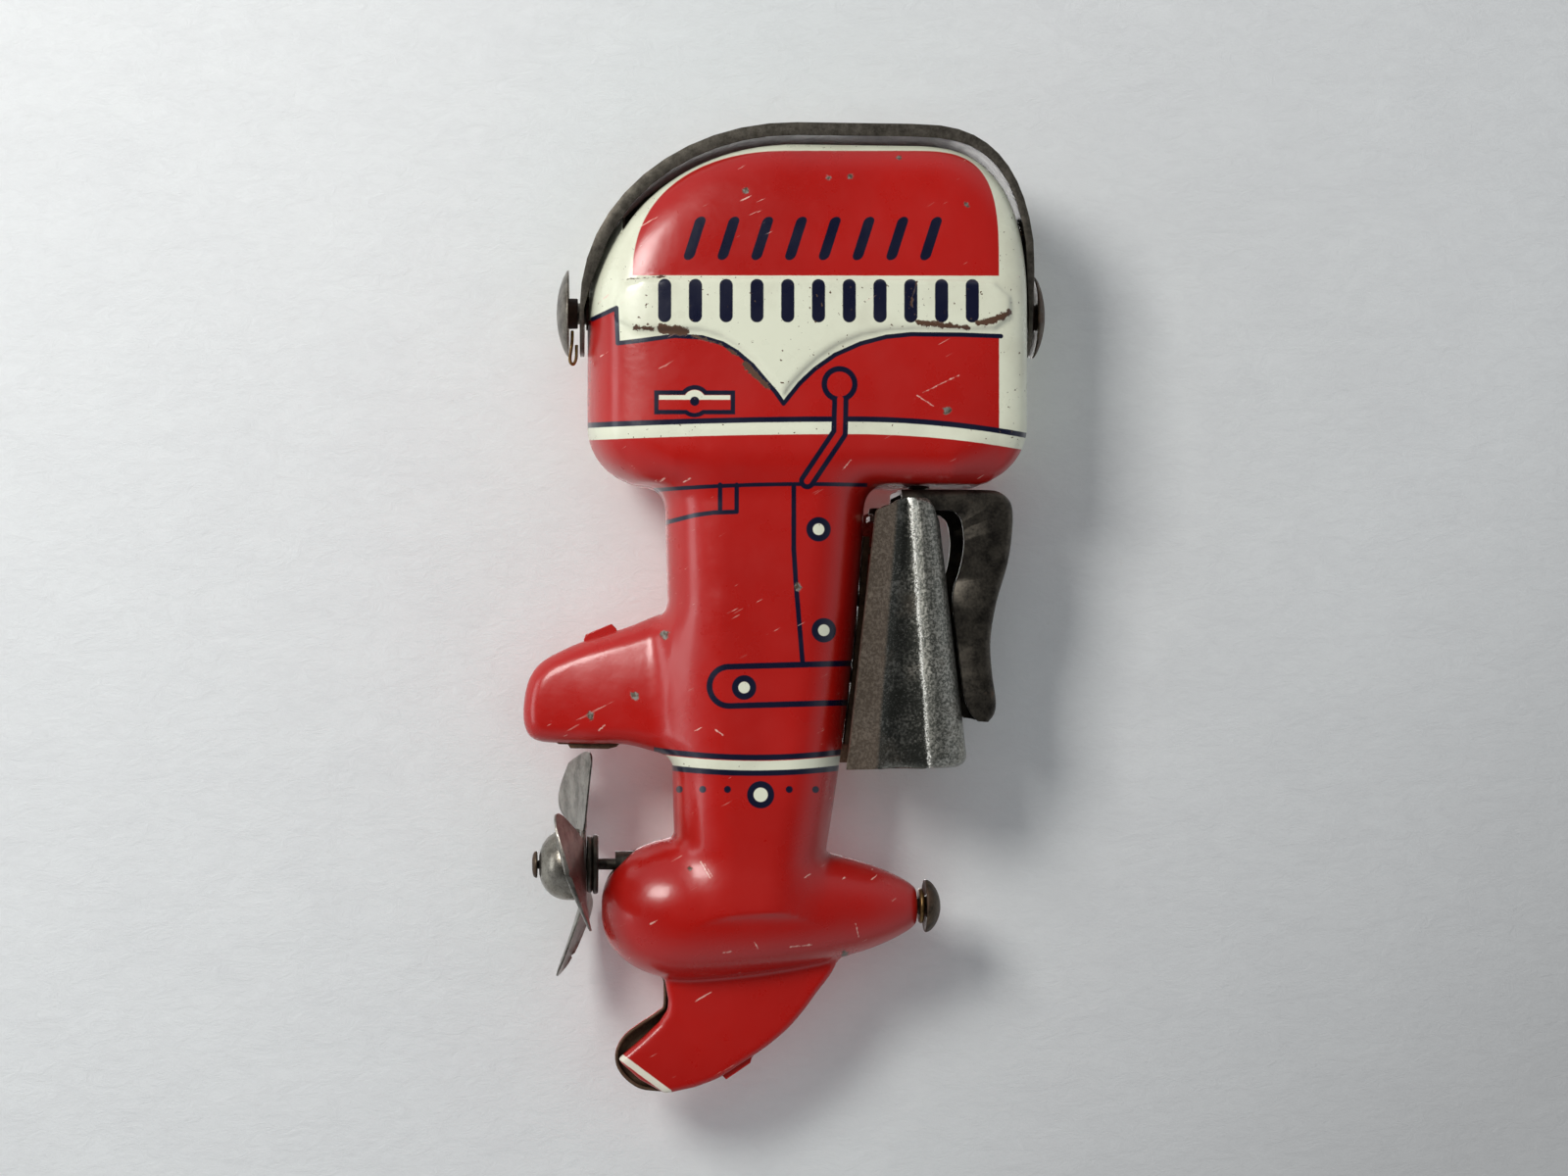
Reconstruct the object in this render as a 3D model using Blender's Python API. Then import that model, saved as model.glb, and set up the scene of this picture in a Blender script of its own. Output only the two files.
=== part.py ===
"""Battery-driven toy outboard motor, modelled upright as it hangs on a boat's transom.

Blender 4.5, metres, +Z up, +X towards the boat, -Y is the starboard side.
The origin is the middle of the roof of the transom slot, between the bracket and its spring jaw.
Sizes below are in millimetres, and MM turns them into metres.
"""
import math

import bmesh
import bpy
from mathutils import Matrix, Vector

MM = 0.001

# ---------------------------------------------------------------- driving dimensions, millimetres
SHEET = 0.45            # pressed tin sheet of the two body shells
SEAM = 0.15             # each shell stops this far from the middle plane
GAP = 0.3               # between pieces that touch

PIVOT_Z = 25.8          # axis of the battery cell and of the cover strap
HEAD_HALF = 12.5        # half thickness of the motor head
HEAD_RISE = 22.8        # head top above the pivot axis
HEAD_AFT = (-20.0, 27.3)    # centre and reach of the rounded rear end
HEAD_FORE = (-5.0, 15.55)   # centre and reach of the squarer front end
HEAD_FORE_POWER = 2.75
HEAD_FLOOR = 3.1        # underside of the head

STRAP_OUT = 0.8         # strap's outer face beyond the head's end
STRAP_RISE = 24.1       # strap top above the pivot axis
STRAP_HALF = 8.5        # half width of the strap
STRAP_SHEET = 0.5
STRAP_LIP = 1.6         # folded edge of the strap

LEG_HALF = (10.5, 9.0)  # half thickness of the leg, top and bottom
LEG_DEPTH = 44.5        # from the neck down to the torpedo
LEG_CORNER = 8.0

TORPEDO_Z = -52.6       # axis of the torpedo body
SHAFT_Z = -46.8         # axis of the propeller shaft
SHAFT_R = 0.75

CELL_R = 7.25           # penlight cell, 14.5 mm across
CELL_X = (-41.4, 7.7)

MOTOR_X = -24.0         # vertical axis of the electric motor
MOTOR_R = 9.2
ARMATURE_SHAFT_R = 1.0

MODULE = 0.4            # gear tooth module
PINION_TEETH = 8
CROWN_TEETH = 24
PINION_R = MODULE * PINION_TEETH / 2
CROWN_R = MODULE * CROWN_TEETH / 2
TOOTH = 0.5             # tooth thickness on the pitch line, with backlash
ADDENDUM = 0.36

STEER_X = -8.2          # vertical axis of the steering pin
PIN_R = 1.0
LUG_RIVETS = (-12.0, -22.0)     # heights of the two rivets that hold the steering lug to the leg
LUG_EARS = (-5.0, -29.0)        # upper faces of the lug's two ears
BRACKET_HALF = 9.0      # half width of the clamp bracket
BRACKET_SHEET = 0.7
BRACKET_Z = (-34.0, -0.9)   # foot, and top of the front face
BRACKET_CHEEK = 1.2     # top of the bracket's sides, which stand up beside the clip
PIN_PLATES = (-32.0, -0.92)     # upper faces of the two plates that hold the steering pin
PLATE_SHEET = 0.7
PIN_HEAD_R = 1.7
ARM_RIVET = (-3.6, 4.2)     # x, and y either side, of the rivets that hold the clip to the bracket
CLIP_HALF = 7.0         # half width of the spring jaw
CLIP_SHEET = 0.7
CLIP_TOP = 2.4
CLIP_BEND = (4.6, 2.05)     # x and z of the flexing bend

BLADE_R = 15.0
BLADE_SHEET = 0.6
BLADE_X = -48.9         # middle of the blades, and below, of the hub disc they leave
HUB_X = -48.3

COLOURS = {             # colour, roughness, metallic
    "tin_red": ((0.58, 0.03, 0.02), 0.35, 0.1),
    "strap_steel": ((0.09, 0.08, 0.065), 0.55, 0.8),
    "dark_steel": ((0.05, 0.045, 0.04), 0.6, 0.8),
    "zinc": ((0.32, 0.31, 0.28), 0.45, 0.9),
    "pewter": ((0.28, 0.26, 0.23), 0.4, 0.9),
    "brass": ((0.42, 0.28, 0.12), 0.35, 0.9),
    "fibre": ((0.09, 0.045, 0.025), 0.8, 0.0),
    "copper": ((0.55, 0.22, 0.1), 0.35, 0.9),
    "magnet": ((0.04, 0.04, 0.045), 0.7, 0.2),
    "carbon": ((0.02, 0.02, 0.02), 0.7, 0.0),
    "cell": ((0.12, 0.2, 0.35), 0.5, 0.1),
    "insulation": ((0.3, 0.24, 0.1), 0.6, 0.0),
    "nylon": ((0.75, 0.72, 0.6), 0.5, 0.0),
}


# ---------------------------------------------------------------- helpers
def clear_scene():
    for item in list(bpy.data.objects):
        bpy.data.objects.remove(item)


def material(name):
    found = bpy.data.materials.get(name)
    if found:
        return found
    colour, roughness, metallic = COLOURS[name]
    made = bpy.data.materials.new(name)
    made.use_nodes = True
    shader = made.node_tree.nodes["Principled BSDF"]
    shader.inputs["Base Color"].default_value = (*colour, 1.0)
    shader.inputs["Roughness"].default_value = roughness
    shader.inputs["Metallic"].default_value = metallic
    return made


def make(name, points, faces, finish, axis_empty=None, origin=(0, 0, 0), smooth=True):
    """One closed body from points in millimetres, with its own origin, under its joint's empty."""
    base = Vector(origin)
    mesh = bpy.data.meshes.new(name)
    mesh.from_pydata([(Vector(p) - base) * MM for p in points], [], faces)
    body = bmesh.new()
    body.from_mesh(mesh)
    bmesh.ops.recalc_face_normals(body, faces=body.faces)
    body.to_mesh(mesh)
    body.free()
    if smooth:
        mesh.shade_smooth()
        mesh.set_sharp_from_angle(angle=math.radians(35))
    mesh.materials.append(material(finish))
    item = bpy.data.objects.new(name, mesh)
    item.location = base * MM
    bpy.context.scene.collection.objects.link(item)
    if axis_empty:
        ride(item, axis_empty)
    return item


def ride(item, empty):
    item.parent = empty
    item.matrix_parent_inverse = Matrix.Translation(-empty.location)


def joint_axis(name, x, y, z):
    empty = bpy.data.objects.new(name, None)
    empty.location = Vector((x, y, z)) * MM
    bpy.context.scene.collection.objects.link(empty)
    return empty


def modify(item, other, operation):
    """Boolean with another object, which becomes a hidden guide."""
    change = item.modifiers.new(operation.lower(), "BOOLEAN")
    change.operation = operation
    change.object = other
    change.solver = "EXACT"
    other.hide_render = True
    other.display_type = "WIRE"


def loft(rings):
    """Skin over rings of equal length, with a flat cap on each end."""
    count = len(rings[0])
    points = [p for ring in rings for p in ring]
    faces = []
    for r in range(len(rings) - 1):
        for k in range(count):
            a, b = r * count + k, r * count + (k + 1) % count
            faces.append((a, b, b + count, a + count))
    last = (len(rings) - 1) * count
    faces.append(tuple(range(count)))
    faces.append(tuple(range(last, last + count)))
    return points, faces


def prism(outline, low, high, along):
    """Outline in the plane across axis `along` ('X': y,z  'Y': x,z  'Z': x,y), extruded from low to high."""
    place = {
        "X": lambda a, b, h: (h, a, b),
        "Y": lambda a, b, h: (a, h, b),
        "Z": lambda a, b, h: (a, b, h),
    }[along]
    return loft([[place(a, b, h) for a, b in outline] for h in (low, high)])


def box(low, high):
    corners = [(low[0], low[1]), (high[0], low[1]), (high[0], high[1]), (low[0], high[1])]
    return prism(corners, low[2], high[2], "Z")


def circle(radius, count=24, centre=(0, 0), start=0.0):
    return [
        (centre[0] + radius * math.cos(start + 2 * math.pi * k / count),
         centre[1] + radius * math.sin(start + 2 * math.pi * k / count))
        for k in range(count)
    ]


def turned(profile, along, centre, count=None):
    """Closed profile of (distance along the axis, radius) turned about an axis through centre."""
    count = count or (16 if max(r for _, r in profile) < 3.2 else 24)
    place = {
        "X": lambda s, a, b: (s, centre[0] + a, centre[1] + b),
        "Z": lambda s, a, b: (centre[0] + a, centre[1] + b, s),
    }[along]
    points, rows = [], []
    for s, r in profile:
        if r == 0:
            points.append(place(s, 0, 0))
            rows.append([len(points) - 1] * count)
            continue
        first = len(points)
        points += [place(s, a, b) for a, b in circle(r, count)]
        rows.append(list(range(first, first + count)))
    faces = []
    for i in range(len(rows)):
        here, there = rows[i], rows[(i + 1) % len(rows)]
        for k in range(count):
            m = (k + 1) % count
            corners = [here[k], here[m], there[m], there[k]]
            unique = list(dict.fromkeys(corners))
            if len(unique) > 2:
                faces.append(tuple(unique))
    return points, faces


def ring_profile(low, high, inner, outer):
    return [(low, inner), (low, outer), (high, outer), (high, inner)]


def ribbon(path, thickness):
    """Closed outline of a sheet's section: path is one face, and the other lies to its left."""
    other = []
    for i, (x, y) in enumerate(path):
        ahead = Vector(path[min(i + 1, len(path) - 1)]) - Vector(path[i])
        behind = Vector(path[i]) - Vector(path[max(i - 1, 0)])
        ahead = ahead.normalized() if ahead.length else behind.normalized()
        behind = behind.normalized() if behind.length else ahead
        middle = (ahead + behind).normalized()
        reach = thickness / max(0.4, middle.dot(ahead))
        other.append((x - middle.y * reach, y + middle.x * reach))
    return list(path) + other[::-1]


def arc(centre, radius, start, end, steps):
    """Points round an arc, angles in degrees."""
    return [
        (centre[0] + radius * math.cos(math.radians(start + (end - start) * k / steps)),
         centre[1] + radius * math.sin(math.radians(start + (end - start) * k / steps)))
        for k in range(steps + 1)
    ]


def tube(name, route, radius, finish, empty, steps=4):
    """A wire along a smooth curve through the route's points, with that many steps between them."""
    curve = bpy.data.curves.new(name, "CURVE")
    curve.dimensions = "3D"
    curve.bevel_depth = radius * MM
    curve.bevel_resolution = 2
    curve.use_fill_caps = True
    dense = smooth_route([Vector(p) for p in route], steps)
    spline = curve.splines.new("POLY")
    spline.points.add(len(dense) - 1)
    for point, place in zip(spline.points, dense):
        point.co = (*(place * MM), 1.0)
    curve.materials.append(material(finish))
    item = bpy.data.objects.new(name, curve)
    bpy.context.scene.collection.objects.link(item)
    ride(item, empty)
    return item


def smooth_route(route, steps):
    """Catmull-Rom points through the route."""
    padded = [route[0] * 2 - route[1], *route, route[-1] * 2 - route[-2]]
    made = []
    for i in range(1, len(padded) - 2):
        a, b, c, d = padded[i - 1:i + 3]
        for k in range(steps):
            t = k / steps
            made.append(0.5 * (2 * b + (c - a) * t + (2 * a - 5 * b + 4 * c - d) * t * t
                               + (3 * b - a - 3 * c + d) * t ** 3))
    made.append(route[-1])
    return made


# ---------------------------------------------------------------- body shells
def head_reach(x, inset=0.0):
    """Radius of the head's rounded top about the pivot axis, at station x."""
    rise = HEAD_RISE - inset
    if x < HEAD_AFT[0]:
        share = (HEAD_AFT[0] - x) / (HEAD_AFT[1] - inset)
        return rise * math.sqrt(max(0.0, 1 - share ** 2))
    if x > HEAD_FORE[0]:
        share = (x - HEAD_FORE[0]) / (HEAD_FORE[1] - inset)
        return rise * max(0.0, 1 - share ** HEAD_FORE_POWER) ** (1 / HEAD_FORE_POWER)
    return rise


def head_floor(x, inset=0.0):
    """Underside of the head, curving up at both ends."""
    aft, fore, reach = -40.0, 3.5, 7.3
    if x < aft:
        return HEAD_FLOOR + inset + 9.0 * (1 - math.sqrt(max(0.0, 1 - ((aft - x) / reach) ** 2)))
    if x > fore:
        return HEAD_FLOOR + inset + 8.5 * (1 - math.sqrt(max(0.0, 1 - ((x - fore) / reach) ** 2)))
    return HEAD_FLOOR + inset


def head_section(x, inset):
    """Closed ring across the head at station x: arched top, flat sides, rounded lower edges."""
    reach, side, power = head_reach(x, inset), HEAD_HALF - inset, 8
    half = []
    for k in range(9):
        angle = math.radians(90 * k / 8)
        spread = (reach ** -power + (math.sin(angle) / side) ** power) ** (-1 / power)
        half.append((spread * math.sin(angle), PIVOT_Z + spread * math.cos(angle)))
    width, floor = half[-1][0], head_floor(x, inset)
    corner = min(5.0 - inset, 0.9 * width)
    half += [(width, PIVOT_Z - 6)]
    half += arc((width - corner, floor + corner), corner, 0, -90, 4)
    full = half + [(-y, z) for y, z in half[::-1] if y > 1e-6]
    return [(x, y, z) for y, z in full]


def head_form(name, inset):
    aft_end, fore_end = -47.1 + inset, 10.5 - inset
    stations = [aft_end, -46.4, -45.0, -43.0, -40.0, -36.0, -30.0, -20.0, -5.0,
                1.0, 4.5, 7.0, 8.8, 9.8, fore_end]
    return make(name, *loft([head_section(x, inset) for x in stations]), "tin_red")


def leg_front(z):
    return -10.8 + 0.05 * z - 0.0013 * z * z


def leg_back(z):
    return -36.8 - 0.0273 * z


def leg_form(name, inset):
    rings = []
    for z in (7.0, 0.0, -12.0, -24.0, -36.0, -LEG_DEPTH, -50.0):
        depth = min(1.0, max(0.0, -z / LEG_DEPTH))
        half = LEG_HALF[0] + (LEG_HALF[1] - LEG_HALF[0]) * depth - inset
        front, back, corner = leg_front(z) - inset, leg_back(z) + inset, LEG_CORNER - inset
        ring = []
        for cx, cy, start in ((front - corner, half - corner, 0), (back + corner, half - corner, 90),
                              (back + corner, corner - half, 180), (front - corner, corner - half, 270)):
            ring += arc((cx, cy), corner, start, start + 90, 5)
        rings.append([(x, y, z) for x, y in ring])
    return make(name, *loft(rings), "tin_red")


TORPEDO = [(-45.2, 1.2), (-44.9, 3.2), (-43.8, 5.2), (-41.5, 7.2), (-38.5, 8.7), (-35.0, 9.4),
           (-30.8, 9.3), (-24.0, 8.6), (-17.0, 7.5), (-11.5, 6.1), (-8.0, 4.9), (-5.2, 3.6), (-3.6, 2.5)]


def torpedo_form(name, inset):
    squeeze = (TORPEDO[-1][0] - TORPEDO[0][0] - 2 * inset) / (TORPEDO[-1][0] - TORPEDO[0][0])
    middle = (TORPEDO[0][0] + TORPEDO[-1][0]) / 2
    skin = [(middle + (x - middle) * squeeze, max(0.6, r - inset)) for x, r in TORPEDO]
    profile = [(skin[0][0], 0), *skin, (skin[-1][0], 0)]
    return make(name, *turned(profile, "X", (0, TORPEDO_Z), 28), "tin_red")


FIN = [(-30.0, -23.2, 10.0, 7.0), (-36.0, -23.2, 9.6, 6.5), (-42.0, -23.3, 7.7, 5.0),
       (-47.0, -24.0, 6.9, 4.2), (-52.5, -25.3, 5.3, 3.3), (-54.6, -25.9, 3.9, 2.5),
       (-55.5, -26.1, 2.2, 1.4)]


def fin_form(name, inset):
    """The rear horn: stations of x, middle height, half height and half thickness."""
    rings = []
    for x, middle, tall, thick in FIN:
        shift = inset if x < -55 else 0.0
        ring = []
        for k in range(20):
            c, s = math.cos(math.pi * k / 10), math.sin(math.pi * k / 10)
            ring.append((x + shift, math.copysign(abs(c) ** 0.7, c) * (thick - inset),
                         middle + math.copysign(abs(s) ** 0.7, s) * (tall - inset)))
        rings.append(ring)
    return make(name, *loft(rings), "tin_red")


SKEG = [(-37.2, -57.0), (-36.9, -65.0), (-39.0, -67.1), (-42.6, -69.9), (-43.5, -71.8), (-42.2, -74.4),
        (-39.9, -76.3), (-36.7, -76.9), (-29.7, -74.8), (-24.5, -71.4), (-20.5, -68.2), (-16.8, -63.7),
        (-14.4, -60.6), (-14.0, -56.0)]


def skeg_form(name, inset):
    rings = []
    for y, pull in ((-1.9, 0.9), (-1.3, 0.15), (1.3, 0.15), (1.9, 0.9)):
        centre = Vector((-29.0, -67.0))
        ring = []
        for x, z in SKEG:
            away = Vector((x, z)) - centre
            pulled = centre + away * (1 - (pull + inset) / away.length)
            side = math.copysign(abs(y) - inset, y)
            ring.append((pulled.x, side, pulled.y))
        rings.append(ring)
    return make(name, *loft(rings), "tin_red")


def hollow_form(tag, inset):
    head = head_form("guide_head_" + tag, inset)
    for maker in (leg_form, torpedo_form, fin_form, skeg_form):
        modify(head, maker("guide_" + maker.__name__ + "_" + tag, inset), "UNION")
    return head


def body_shells(unit):
    outer = hollow_form("outer", 0.0)
    inner = hollow_form("inner", SHEET)
    cuts = {
        "guide_battery_slot": box((-42.5, -7.75, 34.0), (9.2, 7.75, 52.0)),
        "guide_aft_pivot": turned([(-49, 0), (-49, 2.3), (-44, 2.3), (-44, 0)], "X", (0, PIVOT_Z)),
        "guide_fore_pivot": turned([(9, 0), (9, 2.3), (12, 2.3), (12, 0)], "X", (0, PIVOT_Z)),
        "guide_stern": turned([(-47, 0), (-47, 1.95), (-38.5, 1.95), (-38.5, 0)], "X", (0, SHAFT_Z)),
        "guide_nose": turned([(-5, 0), (-5, 1.3), (-3, 1.3), (-3, 0)], "X", (0, TORPEDO_Z)),
        "guide_lug_upper": turned([(-16, 0), (-16, 1.1), (-8, 1.1), (-8, 0)], "X", (0, LUG_RIVETS[0])),
        "guide_lug_lower": turned([(-17, 0), (-17, 1.1), (-9, 1.1), (-9, 0)], "X", (0, LUG_RIVETS[1])),
    }
    cutters = [make(name, *data, "tin_red") for name, data in cuts.items()]
    for name, low, high in (("starboard_shell", -20, -SEAM), ("port_shell", SEAM, 20)):
        half = make(name, *box((-60, low, -80), (20, high, 55)), "tin_red", unit, smooth=False)
        modify(half, outer, "INTERSECT")
        modify(half, inner, "DIFFERENCE")
        for cutter in cutters:
            modify(half, cutter, "DIFFERENCE")


# ---------------------------------------------------------------- cover strap and end pivots
def strap_path():
    """Outer face of the strap in the middle plane, from its rear tip over the top to its front tip."""
    tip_drop = 5.5
    aft = HEAD_AFT[1] + STRAP_OUT
    fore = HEAD_FORE[1] + STRAP_OUT
    path = [(HEAD_AFT[0] - aft, PIVOT_Z - tip_drop * k) for k in (1.0, 0.93, 0.72, 0.4)]
    for k in range(13):
        angle = math.radians(90 * k / 12)
        path.append((HEAD_AFT[0] - aft * math.cos(angle), PIVOT_Z + STRAP_RISE * math.sin(angle)))
    for k in range(13):
        angle = math.radians(90 - 90 * k / 12)
        share = (max(0.0, math.cos(angle)) ** (2 / HEAD_FORE_POWER),
                 max(0.0, math.sin(angle)) ** (2 / HEAD_FORE_POWER))
        path.append((HEAD_FORE[0] + fore * share[0], PIVOT_Z + STRAP_RISE * share[1]))
    path += [(HEAD_FORE[0] + fore, PIVOT_Z - tip_drop * k) for k in (0.4, 0.72, 0.93, 1.0)]
    return path


def cover_strap(axis):
    path = strap_path()
    rings = []
    for i, (x, z) in enumerate(path):
        along = (Vector(path[min(i + 1, len(path) - 1)]) - Vector(path[max(i - 1, 0)])).normalized()
        inward = Vector((along.y, -along.x))
        below = max(0.0, PIVOT_Z - z)
        above = max(0.0, z - PIVOT_Z)
        half = 1.2 + 4.6 * math.sqrt(max(0.0, 1 - (below / 5.6) ** 2)) + min(2.7, 0.3 * above)
        fold = STRAP_LIP if x < 0 else STRAP_LIP - 0.06 * x
        lip = STRAP_SHEET + 0.05 + (fold - STRAP_SHEET) * min(1.0, above / 6)
        section = [(-half, 0), (half, 0), (half, lip), (half - STRAP_SHEET, lip),
                   (half - STRAP_SHEET, STRAP_SHEET), (STRAP_SHEET - half, STRAP_SHEET),
                   (STRAP_SHEET - half, lip), (-half, lip)]
        rings.append([(x + inward.x * d, y, z + inward.y * d) for y, d in section])
    strap = make("cover_strap", *loft(rings), "strap_steel", axis, (-20, 0, PIVOT_Z))
    hole = turned([(-60, 0), (-60, 1.6), (20, 1.6), (20, 0)], "X", (0, PIVOT_Z))
    modify(strap, make("guide_strap_holes", *hole, "strap_steel"), "DIFFERENCE")


def end_pivots(unit):
    """The two end rivets that the strap swings on, which are also the cell's contacts."""
    rear = [(-51.2, 0), (-51.0, 2.4), (-50.5, 4.3), (-49.9, 5.7), (-49.6, 5.6), (-50.0, 4.0), (-50.2, 1.4),
            (-46.3, 1.4), (-46.3, 2.6), (-45.6, 2.6), (-45.6, 0)]
    front = [(13.7, 0), (13.5, 2.3), (13.0, 4.2), (12.4, 5.5), (12.1, 5.4), (12.4, 3.9), (12.6, 1.4),
             (9.9, 1.4), (9.9, 2.9), (9.3, 2.9), (9.3, 0)]
    make("rear_pivot_rivet", *turned(rear, "X", (0, PIVOT_Z)), "dark_steel", unit, (-50, 0, PIVOT_Z))
    make("front_pivot_rivet", *turned(front, "X", (0, PIVOT_Z)), "dark_steel", unit, (13, 0, PIVOT_Z))
    rings = {
        "rear_fibre_spacer": (-49.9, -48.4, 2.0),
        "rear_fibre_bush": (-47.3, -46.6, 2.15),
        "front_fibre_spacer": (11.65, 12.3, 2.0),
        "front_fibre_bush": (10.2, 10.6, 2.15),
    }
    for name, (low, high, outer) in rings.items():
        data = turned(ring_profile(low, high, 1.5, outer), "X", (0, PIVOT_Z))
        make(name, *data, "fibre", unit, (low, 0, PIVOT_Z))
    loop = [(-49.1, -2.6, 23.2), (-49.15, -3.0, 21.4), (-49.4, -3.0, 19.4), (-49.0, -2.8, 18.8),
            (-48.6, -2.4, 19.6), (-48.55, -1.8, 21.4)]
    tube("contact_wire", loop, 0.22, "brass", unit)


# ---------------------------------------------------------------- battery
def battery(unit):
    low, high = CELL_X
    can = [(low, 0), (low, 6.9), (low + 0.4, CELL_R), (high - 0.4, CELL_R), (high, 6.9), (high, 0)]
    make("battery_cell", *turned(can, "X", (0, PIVOT_Z), 32), "cell", unit, (low, 0, PIVOT_Z))
    cap = [(high + 0.05, 0), (high + 0.05, 2.7), (high + 1.1, 2.6), (high + 1.3, 2.2), (high + 1.3, 0)]
    make("battery_cap", *turned(cap, "X", (0, PIVOT_Z)), "zinc", unit, (high, 0, PIVOT_Z))
    turns, coil_r = 2.5, 3.6
    route = []
    for k in range(31):
        angle = 2 * math.pi * turns * k / 30
        reach = coil_r * (0.65 + 0.35 * k / 30)
        route.append((-45.1 + 3.2 * k / 30, reach * math.cos(angle), PIVOT_Z + reach * math.sin(angle)))
    tube("contact_spring", route, 0.25, "zinc", unit, steps=1)
    path = [(11.5, 20.9), (7.9, 20.9)] + arc((0, PIVOT_Z), CELL_R + 0.5, -42, -138, 8)
    path += [(-7.9, 20.9), (-11.5, 20.9)]
    make("battery_cradle", *prism(ribbon(path, 0.5), -38.0, 4.0, "X"), "zinc", unit, (-17, 0, 18))


# ---------------------------------------------------------------- electric motor
def electric_motor(unit, spin):
    centre = (MOTOR_X, 0)
    can = [(-12.5, 1.75), (-12.5, 8.6), (-11.9, MOTOR_R), (10.4, MOTOR_R), (10.4, 8.6), (-11.7, 8.6),
           (-11.9, 1.75)]
    make("motor_can", *turned(can, "Z", centre, 32), "zinc", unit, (MOTOR_X, 0, 0))
    make("motor_end_cap", *turned(ring_profile(10.8, 13.2, 2.0, MOTOR_R), "Z", centre, 32), "fibre", unit,
         (MOTOR_X, 0, 12))
    hole = ARMATURE_SHAFT_R + 0.1
    make("upper_motor_bearing", *turned(ring_profile(10.5, 13.5, hole, 1.9), "Z", centre), "brass", unit,
         (MOTOR_X, 0, 12))
    make("lower_motor_bearing", *turned(ring_profile(-13.7, -11.2, hole, 1.6), "Z", centre), "brass", unit,
         (MOTOR_X, 0, -12.5))
    for name, start in (("rear_magnet", 128), ("front_magnet", -52)):
        outline = arc(centre, 8.3, start, start + 104, 10) + arc(centre, 6.9, start + 104, start, 10)
        make(name, *prism(outline, -9.0, 6.4, "Z"), "magnet", unit, (MOTOR_X, 0, 0))
    for name, low in (("rear_brush", -29.5), ("front_brush", -21.2)):
        make(name, *box((low, -0.9, 7.3), (low + 2.7, 0.9, 9.1)), "carbon", unit, (low, 0, 8))
    shaft = turned([(-44.2, 0), (-44.2, ARMATURE_SHAFT_R), (14.0, ARMATURE_SHAFT_R), (14.0, 0)], "Z", centre)
    make("armature_shaft", *shaft, "pewter", spin, (MOTOR_X, 0, 0))
    armature_core(centre, spin)
    for k in range(3):
        armature_coil(k, spin)
    make("commutator", *turned(ring_profile(6.4, 9.4, hole, 2.3), "Z", centre), "copper", spin,
         (MOTOR_X, 0, 8))


def armature_core(centre, spin):
    """Three T-shaped poles round a hub with a bore for the shaft."""
    outline = []
    for k in range(3):
        turn = 120 * k
        root = [arc(centre, 2.4, turn + side, turn, 1)[0] for side in (-32, 32)]
        outline += root[:1] + arc(centre, 5.3, turn - 16, turn - 44, 2)
        outline += arc(centre, 6.4, turn - 44, turn + 44, 6)
        outline += arc(centre, 5.3, turn + 44, turn + 16, 2) + root[1:]
    core = make("armature_core", *prism(outline, -6.0, 4.0, "Z"), "dark_steel", spin, (MOTOR_X, 0, 0),
                smooth=False)
    reach = ARMATURE_SHAFT_R + 0.1
    bore = turned([(-8, 0), (-8, reach), (6, reach), (6, 0)], "Z", centre)
    modify(core, make("guide_core_bore", *bore, "dark_steel"), "DIFFERENCE")


def armature_coil(k, spin):
    """A rectangular winding round one pole."""
    turn = Matrix.Rotation(math.radians(120 * k), 4, "Z")
    shift = Vector((MOTOR_X, 0, 0))
    points, faces = [], []
    loops = [[(-2.6, -7.4), (2.6, -7.4), (2.6, 5.4), (-2.6, 5.4)],
             [(-1.75, -6.3), (1.75, -6.3), (1.75, 4.3), (-1.75, 4.3)]]
    for radius in (2.75, 4.3):
        for loop in loops:
            points += [turn @ Vector((radius, y, z)) + shift for y, z in loop]
    for i in range(4):
        m = (i + 1) % 4
        faces += [(i, m, 4 + m, 4 + i), (8 + i, 12 + i, 12 + m, 8 + m),
                  (i, 8 + i, 8 + m, m), (4 + i, 4 + m, 12 + m, 12 + i)]
    make("armature_coil_%d" % (k + 1), points, faces, "copper", spin, (MOTOR_X, 0, 0), smooth=False)


# ---------------------------------------------------------------- gears, chassis and propeller
def pinion_gear(spin):
    outline = []
    for k in range(PINION_TEETH):
        middle = math.pi + 2 * math.pi * k / PINION_TEETH
        for radius, half in ((1.2, 0.34), (PINION_R, TOOTH / 2), (PINION_R + ADDENDUM, 0.12)):
            angle = math.asin(half / radius)
            outline.append((radius, middle - angle))
        for radius, half in ((PINION_R + ADDENDUM, 0.12), (PINION_R, TOOTH / 2), (1.2, 0.34)):
            angle = math.asin(half / radius)
            outline.append((radius, middle + angle))
    outline = [(MOTOR_X + r * math.cos(a), r * math.sin(a)) for r, a in outline]
    middle = SHAFT_Z + CROWN_R
    gear = make("pinion_gear", *prism(outline, middle - 1.0, middle + 1.0, "Z"), "brass", spin,
                (MOTOR_X, 0, middle), smooth=False)
    reach = ARMATURE_SHAFT_R + 0.05
    bore = turned([(middle - 3, 0), (middle - 3, reach), (middle + 3, reach), (middle + 3, 0)], "Z",
                  (MOTOR_X, 0))
    modify(gear, make("guide_pinion_bore", *bore, "brass"), "DIFFERENCE")


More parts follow.
